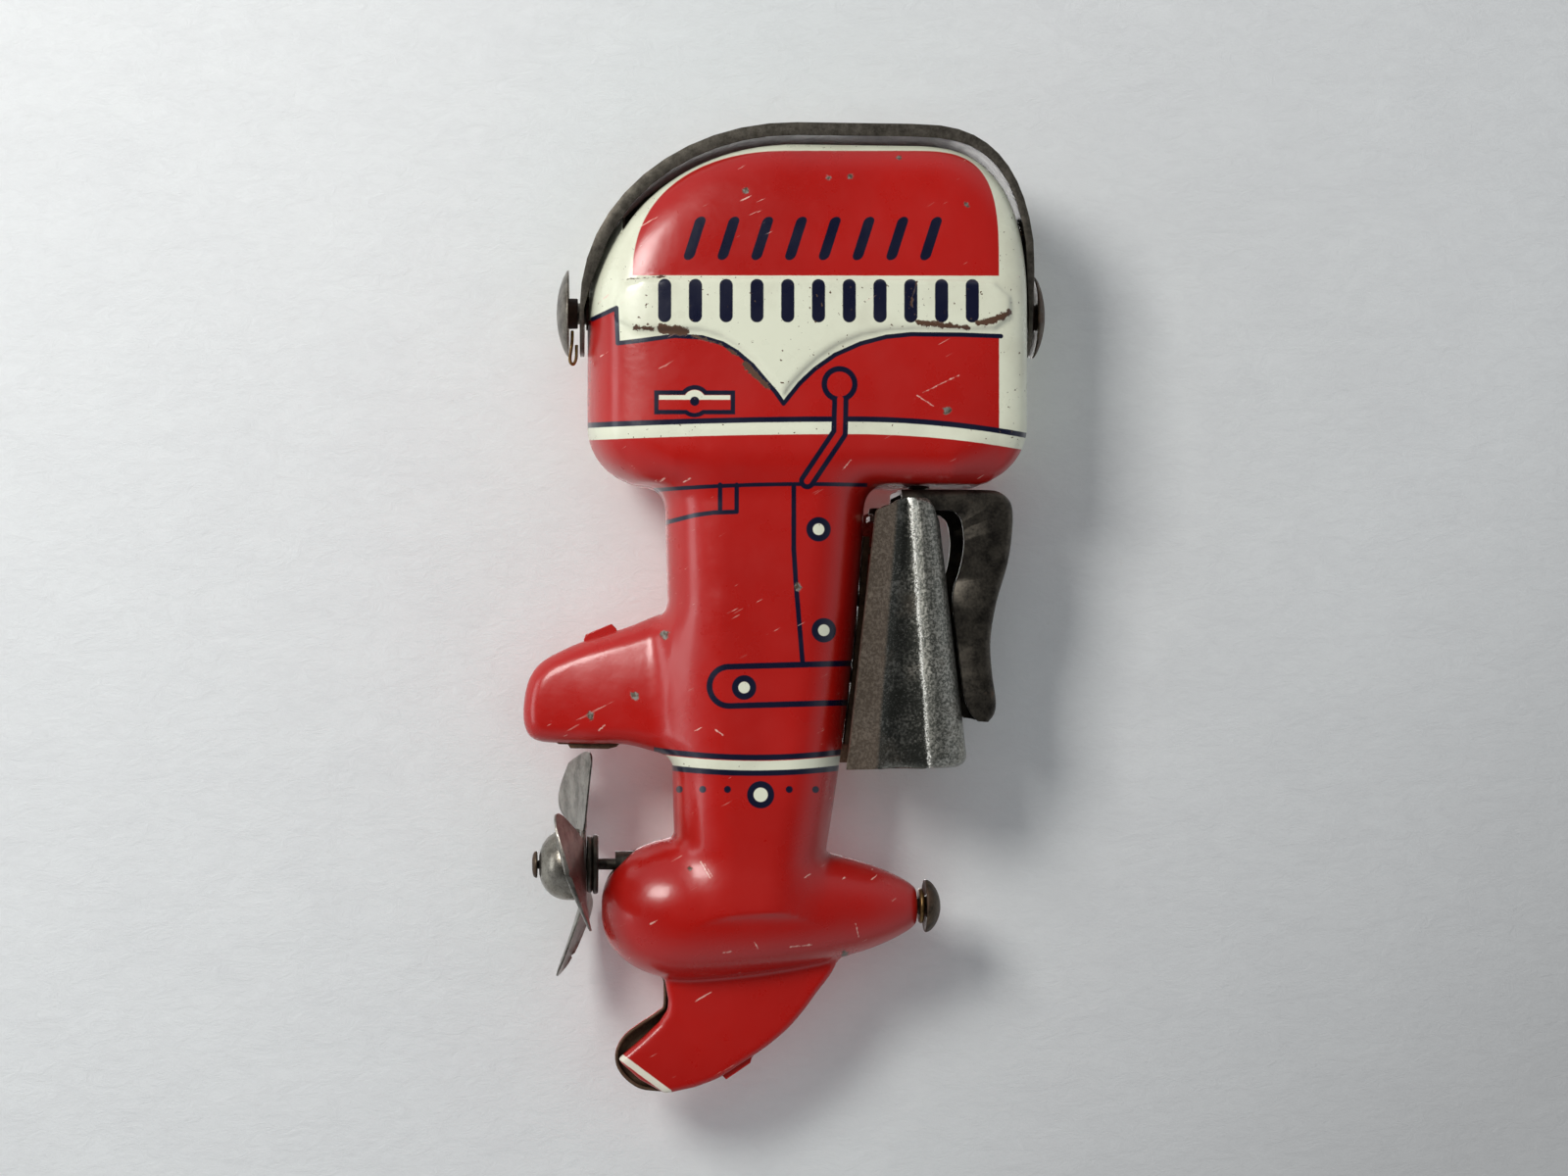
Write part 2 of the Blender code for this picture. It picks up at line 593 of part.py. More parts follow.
def crown_gear(spin):
    """Face gear: a disc with radial teeth pointing forward, a gap at the top to take the pinion's tooth."""
    pitch_x = MOTOR_X - PINION_R
    root_x, tip_x = pitch_x - 0.45, pitch_x + ADDENDUM
    disc = [(root_x - 1.2, SHAFT_R + 0.1), (root_x - 1.2, CROWN_R + 0.8), (root_x, CROWN_R + 0.8),
            (root_x, SHAFT_R + 0.1)]
    wheel = make("crown_gear", *turned(disc, "X", (0, SHAFT_Z), 48), "nylon", spin, (root_x, 0, SHAFT_Z),
                 smooth=False)
    points, faces = [], []
    for k in range(CROWN_TEETH):
        middle = math.pi / 2 + 2 * math.pi * (k + 0.5) / CROWN_TEETH
        first = len(points)
        for x, share in ((root_x - 0.4, 0.62), (pitch_x, 0.5), (tip_x, 0.26)):
            half = share * TOOTH / CROWN_R
            for radius, side in ((CROWN_R - 0.8, -1), (CROWN_R + 0.8, -1), (CROWN_R + 0.8, 1),
                                 (CROWN_R - 0.8, 1)):
                angle = middle + side * half
                points.append((x, radius * 0.995 * math.cos(angle),
                               SHAFT_Z + radius * 0.995 * math.sin(angle)))
        for level in range(2):
            for i in range(4):
                a = first + 4 * level + i
                b = first + 4 * level + (i + 1) % 4
                faces.append((a, b, b + 4, a + 4))
        faces += [tuple(first + i for i in range(4)), tuple(first + 8 + i for i in range(4))]
    modify(wheel, make("guide_crown_teeth", points, faces, "nylon", smooth=False), "UNION")


def chassis(unit):
    """A steel strip bent into a U under the motor, which carries the propeller shaft."""
    path = [(-34.2, -51.5), (-34.2, -14.6), (-17.9, -14.6), (-17.9, -51.5)]
    frame = make("gear_frame", *prism(ribbon(path, -0.7), -4.0, 4.0, "Y"), "zinc", unit,
                 (MOTOR_X, 0, -15), smooth=False)
    bore = turned([(-40, 0), (-40, 1.75), (-10, 1.75), (-10, 0)], "X", (0, SHAFT_Z))
    modify(frame, make("guide_frame_shaft", *bore, "zinc"), "DIFFERENCE")
    top = turned([(-20, 0), (-20, 2.2), (-13, 2.2), (-13, 0)], "Z", (MOTOR_X, 0))
    modify(frame, make("guide_frame_motor", *top, "zinc"), "DIFFERENCE")
    for name, low, high in (("rear_shaft_bearing", -35.0, -32.8), ("front_shaft_bearing", -19.3, -17.2)):
        data = turned(ring_profile(low, high, SHAFT_R + 0.1, 1.65), "X", (0, SHAFT_Z))
        make(name, *data, "brass", unit, (low, 0, SHAFT_Z))
    data = turned(ring_profile(-43.4, -39.6, SHAFT_R + 0.1, 1.7), "X", (0, SHAFT_Z))
    make("stern_bush", *data, "brass", unit, (-43, 0, SHAFT_Z))


def blade(turn):
    """One pressed blade: flat where it leaves the hub disc, then twisted and widened towards its tip."""
    stations = [(3.6, 5.4, 2), (4.7, 7.6, 9), (6.2, 9.8, 20), (8.2, 12.2, 23), (10.2, 14.4, 21),
                (11.8, 15.6, 19), (12.8, 15.0, 18.5), (13.7, 12.0, 18), (14.4, 8.0, 18),
                (BLADE_R - 0.1, 3.0, 18)]
    rings = []
    for radius, chord, pitch in stations:
        c, s = math.cos(math.radians(pitch)), math.sin(math.radians(pitch))
        x = HUB_X + (BLADE_X - HUB_X) * min(1.0, max(0.0, (radius - 4.0) / 4.0))
        ring = []
        for share, side in ((-1, -1), (0, -1), (1, -1), (1, 1), (0, 1), (-1, 1)):
            t, n = share * chord / 2, side * BLADE_SHEET / 2
            ring.append(Vector((x + t * s + n * c, -radius, -(t * c - n * s))))
        rings.append([turn @ p + Vector((0, 0, SHAFT_Z)) for p in ring])
    return loft(rings)


def propeller(spin):
    disc = [(-48.65, SHAFT_R + 0.1), (-48.65, 4.4), (-47.95, 4.4), (-47.95, SHAFT_R + 0.1)]
    hub = make("propeller", *turned(disc, "X", (0, SHAFT_Z)), "pewter", spin, (BLADE_X, 0, SHAFT_Z))
    for k in range(3):
        turn = Matrix.Rotation(math.radians(120 * k), 3, "X")
        modify(hub, make("guide_blade_%d" % k, *blade(turn), "pewter"), "UNION")
    spinner = [(-53.3, SHAFT_R + 0.1), (-53.3, 1.7), (-52.9, 2.8), (-51.9, 3.9), (-50.6, 4.4), (-49.4, 4.6),
               (-49.4, 3.0), (-49.9, SHAFT_R + 0.1)]
    make("propeller_spinner", *turned(spinner, "X", (0, SHAFT_Z)), "pewter", spin, (-51, 0, SHAFT_Z))
    nut = [(-54.3, 0), (-54.2, 1.2), (-53.9, 1.75), (-53.6, 1.75), (-53.6, SHAFT_R + 0.1),
           (-54.0, SHAFT_R + 0.1), (-54.0, 0)]
    make("shaft_end_cap", *turned(nut, "X", (0, SHAFT_Z)), "dark_steel", spin, (-54, 0, SHAFT_Z))
    make("propeller_collar", *turned(ring_profile(-47.0, -45.75, SHAFT_R + 0.1, 3.9), "X", (0, SHAFT_Z)),
         "strap_steel", spin, (-46.5, 0, SHAFT_Z))
    shaft = [(-53.9, 0), (-53.9, SHAFT_R), (-16.6, SHAFT_R), (-16.6, 0)]
    make("propeller_shaft", *turned(shaft, "X", (0, SHAFT_Z)), "pewter", spin, (-30, 0, SHAFT_Z))


def nose_fastener(unit):
    rivet = [(-0.3, 0), (-0.5, 1.4), (-1.1, 2.6), (-1.9, 3.4), (-2.3, 3.5), (-2.4, 3.1), (-2.0, 1.0),
             (-6.3, 1.0), (-6.3, 1.7), (-6.8, 1.7), (-6.8, 0)]
    make("nose_rivet", *turned(rivet, "X", (0, TORPEDO_Z)), "dark_steel", unit, (-2, 0, TORPEDO_Z))
    make("nose_washer", *turned(ring_profile(-3.2, -2.6, 1.15, 2.3), "X", (0, TORPEDO_Z)), "fibre", unit,
         (-3, 0, TORPEDO_Z))


def lead_wires(unit):
    rear = [(-45.2, 4.2, 23.4), (-44.9, 5.6, 20.0), (-42.5, 6.0, 16.6), (-36.0, 5.0, 15.2),
            (-30.5, 3.4, 14.6), (-28.4, 2.8, 13.8)]
    front = [(9.0, 4.2, 23.4), (8.6, 5.6, 20.0), (6.6, 6.0, 17.0), (0.0, 5.4, 15.6), (-10.0, 4.4, 15.0),
             (-17.0, 3.2, 14.6), (-19.6, 2.8, 13.8)]
    tube("rear_lead_wire", rear, 0.35, "insulation", unit)
    tube("front_lead_wire", front, 0.35, "insulation", unit)


# ---------------------------------------------------------------- steering lug and transom clamp
def steering_lug(unit):
    """A strip riveted down the leg's front edge, with two ears that turn on the steering pin."""
    outline = ribbon([(leg_front(z) + GAP, z) for z in (-3.6, -12.0, -20.0, -31.0)], 0.8)
    lug = make("steering_lug", *prism(outline, -2.4, 2.4, "Y"), "zinc", unit, (-11, 0, -17), smooth=False)
    for k, z in enumerate(LUG_EARS):
        root = leg_front(z) + 0.7
        ear = [(root, -2.2), (STEER_X, -2.2)] + arc((STEER_X, 0), 2.2, -60, 60, 6)
        ear += [(STEER_X, 2.2), (root, 2.2)]
        modify(lug, make("guide_ear_%d" % k, *prism(ear, z - 0.8, z, "Z"), "zinc"), "UNION")
    bore = turned([(-40, 0), (-40, PIN_R + 0.1), (3, PIN_R + 0.1), (3, 0)], "Z", (STEER_X, 0))
    modify(lug, make("guide_lug_bore", *bore, "zinc"), "DIFFERENCE")
    for k, z in enumerate(LUG_RIVETS):
        plate = leg_front(z)
        hole = turned([(plate - 3, 0), (plate - 3, 1.0), (plate + 3, 1.0), (plate + 3, 0)], "X", (0, z))
        modify(lug, make("guide_lug_hole_%d" % k, *hole, "zinc"), "DIFFERENCE")
        head = [(plate + 2.2, 0), (plate + 2.1, 0.8), (plate + 1.7, 1.4), (plate + 1.5, 1.5),
                (plate + 1.5, 0.85), (plate - 1.1, 0.85), (plate - 1.1, 1.5), (plate - 1.6, 1.5),
                (plate - 1.6, 0)]
        make("lug_rivet_%d" % (k + 1), *turned(head, "X", (0, z)), "dark_steel", unit, (plate, 0, z))


def bracket_front(z):
    """Raked face that bears on the transom."""
    return -1.4 - 0.122 * z


def bracket_section(z):
    """Plan outline of the bracket's sheet: flared rear strip, dished side, round bend and flat front."""
    front = bracket_front(z)
    rear = -9.0 + 0.118 * z
    ridge = -6.2 + 0.078 * z
    bend = 3.6
    side = [(rear, 9.5), (ridge, 8.4), (front - bend - 0.6, BRACKET_HALF)]
    corner = arc((front - bend, BRACKET_HALF - bend), bend, 84, 0, 5)
    near = side + corner
    path = near + [(x, -y) for x, y in near[::-1]]
    return ribbon(path, -BRACKET_SHEET)


def clamp_bracket():
    low, high = BRACKET_Z
    rings = [[(x, y, z) for x, y in bracket_section(z)] for z in (low, BRACKET_CHEEK)]
    shell = make("clamp_bracket", *loft(rings), "zinc", None, (0, 0, 0), smooth=False)
    between = box((-14, -CLIP_HALF - 0.35, high), (4, CLIP_HALF + 0.35, 4))
    corner = [(-14, -1.4), (-9.4, -1.4), (-6.6, BRACKET_CHEEK + 0.1), (-6.6, 4), (-14, 4)]
    for tag, data in (("between", between), ("corner", prism(corner, -12, 12, "Y"))):
        modify(shell, make("guide_bracket_" + tag, *data, "zinc"), "DIFFERENCE")
    for k, top in enumerate(PIN_PLATES):
        front = bracket_front(top - PLATE_SHEET) - 0.35
        near = [(STEER_X - 1.7, 2.2), (STEER_X + 3.4, 8.6), (front - 3.2, 8.6), (front, 5.2)]
        plate = near + [(x, -y) for x, y in near[::-1]]
        data = prism(plate, top - PLATE_SHEET, top, "Z")
        modify(shell, make("guide_plate_%d" % k, *data, "zinc"), "UNION")
    bore = turned([(-40, 0), (-40, PIN_R + 0.1), (3, PIN_R + 0.1), (3, 0)], "Z", (STEER_X, 0))
    modify(shell, make("guide_bracket_bore", *bore, "zinc"), "DIFFERENCE")
    foot, head = PIN_PLATES[0] - PLATE_SHEET - GAP, PIN_PLATES[1] + GAP
    pin = [(foot - 0.9, 0), (foot - 0.9, PIN_HEAD_R), (foot, PIN_HEAD_R), (foot, PIN_R), (head, PIN_R),
           (head, PIN_HEAD_R), (head + 0.8, PIN_HEAD_R - 0.2), (head + 0.8, 0)]
    make("steering_pin", *turned(pin, "Z", (STEER_X, 0)), "dark_steel", None, (STEER_X, 0, -17))
    for k, y in enumerate((-ARM_RIVET[1], ARM_RIVET[1])):
        hole = turned([(-3, 0), (-3, 1.0), (4, 1.0), (4, 0)], "Z", (ARM_RIVET[0], y))
        modify(shell, make("guide_arm_hole_%d" % k, *hole, "zinc"), "DIFFERENCE")


def clip_outline():
    """Side outline of the clip's flange: arm over the bracket, bend, and the S-shaped jaw."""
    outer = [(-6.2, 2.4), (5.7, 2.4)] + arc((5.9, -0.3), 2.7, 80, 8, 5)
    outer += [(8.5, -3.0), (7.9, -7.2), (6.4, -12.4), (5.6, -17.3), (5.8, -21.5), (6.3, -25.2)]
    outer += arc((4.6, -26.6), 1.7, 20, -160, 5)
    inner = [(bracket_front(-24.0) + 0.35, -24.0), (bracket_front(-11.0) + 0.35, -11.0), (1.3, -8.4),
             (2.1, -5.6), (1.9, -2.2), (1.2, -0.8), (0.3, -0.2), (-6.2, -0.2)]
    return outer + inner


def clamp_clip(bend_axis):
    """The spring clip in two solids that part at its bend: a riveted arm, and the jaw that flexes open."""
    split = CLIP_BEND[0]
    parts = (
        ("clamp_spring_arm", None, (-10.0, -0.4, split - 0.2, 5.0)),
        ("clamp_spring_jaw", bend_axis, (split + 0.2, -30.0, 12.0, 5.0)),
    )
    for name, empty, (x0, z0, x1, z1) in parts:
        piece = make(name, *prism(clip_outline(), -CLIP_HALF, CLIP_HALF, "Y"), "dark_steel", empty,
                     (CLIP_BEND[0], 0, CLIP_BEND[1]), smooth=False)
        keep = [(x0, z0), (x1, z0), (x1, z1), (x0, z1)]
        if empty:
            keep = [(-3.0, z0), (x1, z0), (x1, z1), (x0, z1), (x0, -0.75), (-3.0, -0.75)]
        modify(piece, make("guide_keep_" + name, *prism(keep, -12, 12, "Y"), "dark_steel"), "INTERSECT")
        modify(piece, make("guide_hollow_" + name, *clip_hollow(), "dark_steel"), "DIFFERENCE")
    piece = bpy.data.objects["clamp_spring_arm"]
    for k, y in enumerate((-ARM_RIVET[1], ARM_RIVET[1])):
        hole = turned([(0, 0), (0, 1.0), (4, 1.0), (4, 0)], "Z", (ARM_RIVET[0], y))
        modify(piece, make("guide_clip_hole_%d" % k, *hole, "dark_steel"), "DIFFERENCE")
        rivet = [(-2.9, 0), (-2.9, 1.5), (-2.0, 1.5), (-2.0, 0.85), (2.6, 0.85), (2.6, 1.5), (2.95, 1.1),
                 (2.95, 0)]
        make("clip_rivet_%d" % (k + 1), *turned(rivet, "Z", (ARM_RIVET[0], y), 16), "dark_steel", None,
             (ARM_RIVET[0], y, 0))


def clip_hollow():
    """Space between the clip's flanges, behind its web."""
    inside = CLIP_HALF - CLIP_SHEET
    web = [(-8.0, 2.4 - CLIP_SHEET), (5.5, 2.4 - CLIP_SHEET)] + arc((5.7, -0.3), 2.0, 80, 8, 5)
    web += [(7.8, -3.0), (7.2, -7.1), (5.7, -12.2), (4.9, -17.3), (5.1, -21.5), (5.6, -25.0)]
    web += [(5.2, -26.6), (3.0, -30.0), (-8.0, -30.0)]
    return prism(web, -inside, inside, "Y")


def build():
    clear_scene()
    unit = joint_axis("steering_axis", STEER_X, 0, 0)
    strap = joint_axis("strap_axis", -20, 0, PIVOT_Z)
    motor = joint_axis("motor_axis", MOTOR_X, 0, 0)
    shaft = joint_axis("propeller_axis", BLADE_X, 0, SHAFT_Z)
    bend = joint_axis("clip_bend_axis", CLIP_BEND[0], 0, CLIP_BEND[1])
    for empty in (strap, motor, shaft):
        ride(empty, unit)
    bpy.context.view_layer.update()
    body_shells(unit)
    cover_strap(strap)
    end_pivots(unit)
    battery(unit)
    electric_motor(unit, motor)
    pinion_gear(motor)
    crown_gear(shaft)
    chassis(unit)
    propeller(shaft)
    nose_fastener(unit)
    lead_wires(unit)
    steering_lug(unit)
    clamp_bracket()
    clamp_clip(bend)


build()
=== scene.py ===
"""Looks of the tin toy outboard motor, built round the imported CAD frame.

Lengths are in millimetres in the row frame unless a name says otherwise; MM turns them into metres.
"""

import math

import bmesh
import bpy
import numpy as np
from mathutils import Matrix, Vector


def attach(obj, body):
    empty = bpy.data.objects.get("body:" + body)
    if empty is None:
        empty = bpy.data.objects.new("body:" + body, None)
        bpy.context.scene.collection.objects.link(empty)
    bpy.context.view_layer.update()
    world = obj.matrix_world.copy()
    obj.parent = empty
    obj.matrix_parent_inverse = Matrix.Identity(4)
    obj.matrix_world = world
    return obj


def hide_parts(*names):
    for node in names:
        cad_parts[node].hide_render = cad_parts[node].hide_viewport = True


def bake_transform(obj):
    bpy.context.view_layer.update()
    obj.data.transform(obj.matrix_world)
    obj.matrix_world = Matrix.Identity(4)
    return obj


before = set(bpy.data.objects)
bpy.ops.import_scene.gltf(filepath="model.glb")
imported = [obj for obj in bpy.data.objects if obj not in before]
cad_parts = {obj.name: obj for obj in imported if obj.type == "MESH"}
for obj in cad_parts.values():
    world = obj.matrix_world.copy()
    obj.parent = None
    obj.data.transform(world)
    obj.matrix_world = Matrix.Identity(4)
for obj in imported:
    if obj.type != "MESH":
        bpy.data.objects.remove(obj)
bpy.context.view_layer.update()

MM = 0.001
SKIN_STEP = 0.42      # grid of the shell skins
ROUND = 72             # sides of a turned piece

PIVOT_Z = 25.8
HEAD_HALF, HEAD_RISE = 11.9, 22.8
HEAD_AFT = (-20.0, 27.12)
HEAD_FORE = (-5.0, 15.55)
HEAD_FORE_POWER = 2.75
HEAD_FLOOR = 3.1
SEAM = 0.15
SHEET = 0.4
TORPEDO_Z, SHAFT_Z = -52.6, -46.8
HUB_X, BLADE_X = -47.55, -49.3
PIVOT_HOLE, SHAFT_HOLE, NOSE_HOLE = 2.3, 1.95, 1.3     # radii
PANEL_NEAR = 12
LEG_PRINT_TOP = 1.2                     # below this height the skins wear the leg's print
GRID_LOW, GRID_SPAN = (-57.0, -0.9, -79.0), (70, 15.2, 129)

# The camera: what it looks at (x, z), its distance, its sideways and downward lean, and the frame width.
VIEW_MIDDLE, VIEW_REACH, VIEW_LEAN, VIEW_DROP = (-21.1, -10.4), 330.0, 0.070, 0.0174
VIEW_AZIMUTH, VIEW_ELEVATION, VIEW_WIDTH, FILM_WIDTH = -4.0, -1.0, 208.0, 36.0
PAPER_REACH, PAPER_Y = 1500, 13.95


# ---- node graph helper
class Value:
    """A number socket that takes part in arithmetic."""

    def __init__(self, graph, socket):
        self.graph, self.socket = graph, socket

    def operator(operation, swapped=False):
        def made(self, other):
            return self.graph.math(operation, *((other, self) if swapped else (self, other)))
        return made

    __add__ = __radd__ = operator("ADD")
    __sub__, __rsub__ = operator("SUBTRACT"), operator("SUBTRACT", True)
    __mul__ = __rmul__ = operator("MULTIPLY")
    __truediv__, __pow__ = operator("DIVIDE"), operator("POWER")
    least, most = operator("MINIMUM"), operator("MAXIMUM")

    def __abs__(self):
        return self.graph.math("ABSOLUTE", self)

    def inside(self, soft=0.09):
        """1 where this signed distance is negative, with a soft edge."""
        return self.graph.math("SUBTRACT", 0.5, self * (1 / soft), clamp=True)


class Graph:
    """A material and short names for its nodes."""

    def __init__(self, name):
        self.material = bpy.data.materials.new(name)
        self.material.use_nodes = True
        self.tree = self.material.node_tree
        self.shader = self.tree.nodes["Principled BSDF"]
        self.coords = self.tree.nodes.new("ShaderNodeTexCoord").outputs["Object"]

    def node(self, kind, **settings):
        made = self.tree.nodes.new("ShaderNode" + kind)
        for key, value in settings.items():
            setattr(made, key, value)
        return made

    def put(self, socket, value):
        if isinstance(value, Value):
            value = value.socket
        if isinstance(value, bpy.types.NodeSocket):
            self.tree.links.new(value, socket)
        else:
            socket.default_value = value

    def math(self, operation, a, b=None, clamp=False):
        made = self.node("Math", operation=operation, use_clamp=clamp)
        self.put(made.inputs[0], a)
        if b is not None:
            self.put(made.inputs[1], b)
        return Value(self, made.outputs[0])

    def vector(self, operation, a, b=None, scale=None):
        made = self.node("VectorMath", operation=operation)
        self.put(made.inputs[0], a)
        if b is not None:
            self.put(made.inputs[1], b)
        if scale is not None:
            self.put(made.inputs["Scale"], scale)
        if operation in ("DOT_PRODUCT", "LENGTH", "DISTANCE"):
            return Value(self, made.outputs["Value"])
        return made.outputs["Vector"]

    def mix(self, share, a, b):
        made = self.node("Mix", data_type="RGBA")
        self.put(made.inputs["Factor"], share)
        self.put(made.inputs[6], (*a, 1) if isinstance(a, tuple) else a)
        self.put(made.inputs[7], (*b, 1) if isinstance(b, tuple) else b)
        return made.outputs[2]

    def noise(self, scale, detail=3.0, roughness=0.5, where=None, stretch=None, distortion=0.0):
        """Noise with `scale` features to the millimetre, or stretched by a vector."""
        where = where or self.coords
        if stretch:
            where = self.vector("MULTIPLY", where, stretch)
        made = self.node("TexNoise")
        self.put(made.inputs["Vector"], where)
        for key, value in (("Scale", scale * 1000), ("Detail", detail), ("Roughness", roughness),
                           ("Distortion", distortion)):
            made.inputs[key].default_value = value
        return Value(self, made.outputs["Fac"])

    def over(self, value, low, high):
        """0 below low, 1 above high."""
        return self.math("MULTIPLY", value - low, 1 / (high - low), clamp=True)

    def split(self, scale=None):
        """The x, y and z of the object's own coordinates, as they are or multiplied."""
        parts = self.node("SeparateXYZ")
        self.put(parts.inputs[0], self.vector("SCALE", self.coords, scale=scale) if scale else self.coords)
        return [Value(self, parts.outputs[axis]) for axis in "XYZ"]

    def surface(self, settings):
        for key, value in settings.items():
            self.put(self.shader.inputs[key], value)

    def bump(self, height, distance, strength):
        made = self.node("Bump")
        made.inputs["Strength"].default_value = strength
        made.inputs["Distance"].default_value = distance * MM
        self.put(made.inputs["Height"], height)
        self.put(self.shader.inputs["Normal"], made.outputs["Normal"])


# ---- printed art on the shells
RED = (0.45, 0.0065, 0.0035)
DEEP_RED = (0.36, 0.0045, 0.0022)
CREAM = (0.75, 0.765, 0.60)
NAVY = (0.004, 0.0055, 0.022)
BARE = (0.27, 0.25, 0.22)
RUST = (0.085, 0.038, 0.018)
BROWN = (0.10, 0.055, 0.028)

# Lower edge of the cream panel: x, z.
PANEL_EDGE = [(-48, 24.7), (-46.6, 25.3), (-43.45, 26.8), (-43.25, 22.1), (-40, 22.5), (-35.7, 23.1),
    (-32, 22.9), (-29.3, 22.1), (-27.3, 20.9), (-25.3, 19.2), (-23.6, 17.2), (-22.2, 15.6),
    (-21.15, 14.1), (-19, 16.8), (-17, 18.7), (-14.3, 20.6), (-10.9, 22.1), (-7.5, 23),
    (-4.2, 23.35), (2.6, 23.3), (7.8, 23.1), (12, 23)]


def nearest(pieces):
    """Least of some distances, taken one at a time so that few are held at once."""
    best = None
    for piece in pieces:
        best = piece if best is None else best.least(piece)
    return best


class Art:
    """Signed distances, in millimetres, of shapes printed on both sides, drawn on the plane y = 0 as seen by
    someone VIEW_REACH away, so that they spread towards the middle on the nearer faces."""

    def __init__(self, graph):
        self.graph = graph
        x, self.y, z = graph.split(1000.0)
        rise = abs(self.y)
        ahead, up = x - VIEW_MIDDLE[0], z - VIEW_MIDDLE[1]
        grow = graph.math("DIVIDE", VIEW_REACH, ahead * VIEW_LEAN - rise + VIEW_REACH)
        self.x = (ahead + rise * VIEW_LEAN) * grow + VIEW_MIDDLE[0]
        self.z = (up + rise * VIEW_DROP) * grow + VIEW_MIDDLE[1]
        flat = graph.node("CombineXYZ")
        graph.put(flat.inputs["X"], self.x)
        graph.put(flat.inputs["Z"], self.z)
        self.flat = flat.outputs[0]

    def disc(self, x, z, radius):
        return self.graph.vector("DISTANCE", self.flat, (x, 0, z)) - radius

    def capsule(self, start, end, radius=0.0):
        g = self.graph
        along = Vector((end[0] - start[0], 0, end[1] - start[1]))
        away = g.vector("SUBTRACT", self.flat, (start[0], 0, start[1]))
        share = g.math("MULTIPLY", g.vector("DOT_PRODUCT", away, along), 1 / along.length_squared,
            clamp=True)
        near = g.vector("SCALE", along, scale=share)
        return g.vector("DISTANCE", away, near) - radius

    def path(self, points, radius):
        return nearest(self.capsule(start, end, radius) for start, end in zip(points, points[1:]))

    def box(self, x, z, half_x, half_z):
        return (abs(self.x - x) - half_x).most(abs(self.z - z) - half_z)

    def curve(self, points, low, high, z_low, z_high):
        """Height of a line through points at x, from a curve node."""
        g = self.graph
        made = g.node("FloatCurve")
        line = made.mapping.curves[0]
        scaled = [((x - low) / (high - low), (z - z_low) / (z_high - z_low)) for x, z in points]
        while len(line.points) < len(scaled):
            line.points.new(0.5, 0.5)
        for point, place in zip(line.points, scaled):
            point.location = place
            point.handle_type = "VECTOR"
        made.mapping.update()
        g.put(made.inputs["Value"], (self.x - low) / (high - low))
        return Value(g, made.outputs[0]) * (z_high - z_low) + z_low


def louvres(art, middle, height, pitch, half_width, first, last, slant):
    """A row of plain slanted bars, which stands where the real one has lettering."""
    g = art.graph
    lean = art.x - (art.z - middle) * slant
    cell = g.math("WRAP", lean - first, pitch / 2)
    cell.socket.node.inputs[2].default_value = -pitch / 2
    tall = (abs(art.z - middle) - (height / 2 - half_width)).most(0.0)
    bar = g.math("SQRT", cell ** 2.0 + tall ** 2.0) - half_width
    ends = abs(lean - (first + last) / 2) - ((last - first) / 2 + pitch / 2)
    return bar.most(ends)


def head_art(art):
    """Masks of the cream and the navy print on the head, and of the red inside the printed lever."""
    x, z = art.x, art.z
    edge = art.curve(PANEL_EDGE, -48.0, 12.0, 10.0, 30.0)
    line = 12.05 - (x + 12.0).most(0.0) ** 2.0 * 0.004 - (-12.0 - x).most(0.0) ** 2.0 * 0.0007
    above = ((z - 30.9) * (1 / 16.9)).most(0.0)
    aft = (((-20.0 - x) * (1 / 21.3)).most(0.0) ** 2.3 + above ** 2.3) ** (1 / 2.3)
    fore = (((x + 5.0) * (1 / 12.55)).most(0.0) ** 3.6 + above ** 3.6) ** (1 / 3.6)
    upper = ((aft.most(fore) - 1.0) * 14.0).most(31.15 - z)
    lower = (z - edge).most(line - z).most(x - 7.55)
    cream = (line - 2.0 - z).most(0.0 - upper).most(0.0 - lower)
    navy = art.path(PANEL_EDGE[1:-1], 0.3)
    navy = navy.least((abs(z - line) - 0.36))
    neck = 3.4 - (x + 18.0) ** 2.0 * 0.002
    navy = navy.least((abs(z - neck) - 0.27).most(abs(x + 25.0) - 15.0))
    knob = art.disc(-13.7, 16.7, 0.0)
    arm = art.path([(-13.6, 14.7), (-13.7, 10.2), (-18.0, 3.8)], 0.0)
    latch = ((art.box(-33.0, 14.25, 4.5, 0.7)) - 0.25).least(art.disc(-33.0, 14.4, 1.5))
    cream = cream.least(latch.most(14.6 - z))
    navy = navy.least(abs(latch - 0.35) - 0.3).least(art.disc(-33.0, 14.4, 0.62))
    navy = navy.least((knob - 2.4).least(arm - 1.1))
    navy = navy.least(louvres(art, 36.1, 5.8, 4.5, 0.72, -33.0, -1.5, 0.32))
    navy = navy.least(louvres(art, 27.8, 5.8, 4.1, 0.88, -37.0, 3.9, 0.0))
    return cream, navy, (knob - 1.66).least(arm - 0.42)


def leg_art(art):
    """Masks of the cream and the navy print below the head."""
    x, z = art.x, art.z
    band = z - ((x + 25.0) ** 2.0 * 0.0055 - 33.9)
    cream = (abs(band + 0.1) - 0.68).most(-38.4 - x)
    navy = (abs(abs(band) - 1.04) - 0.37).most(-38.4 - x)
    for rx, rz, r in ((-16.5, -2.6, 0.80), (-15.8, -16.0, 0.80), (-26.4, -23.6, 0.80), (-24.2, -37.8, 0.98)):
        cream = cream.least(art.disc(rx, rz, r))
        navy = navy.least(abs(art.disc(rx, rz, r + 0.4)) - 0.43)
    navy = navy.least(abs(art.capsule((-28.4, -23.45), (-3.0, -22.7), 2.6)) - 0.39)
    for dx in (-35.0, -31.9, -28.6, -20.4, -16.9):
        navy = navy.least(art.disc(dx, -37.1, 0.46))
    return cream, navy


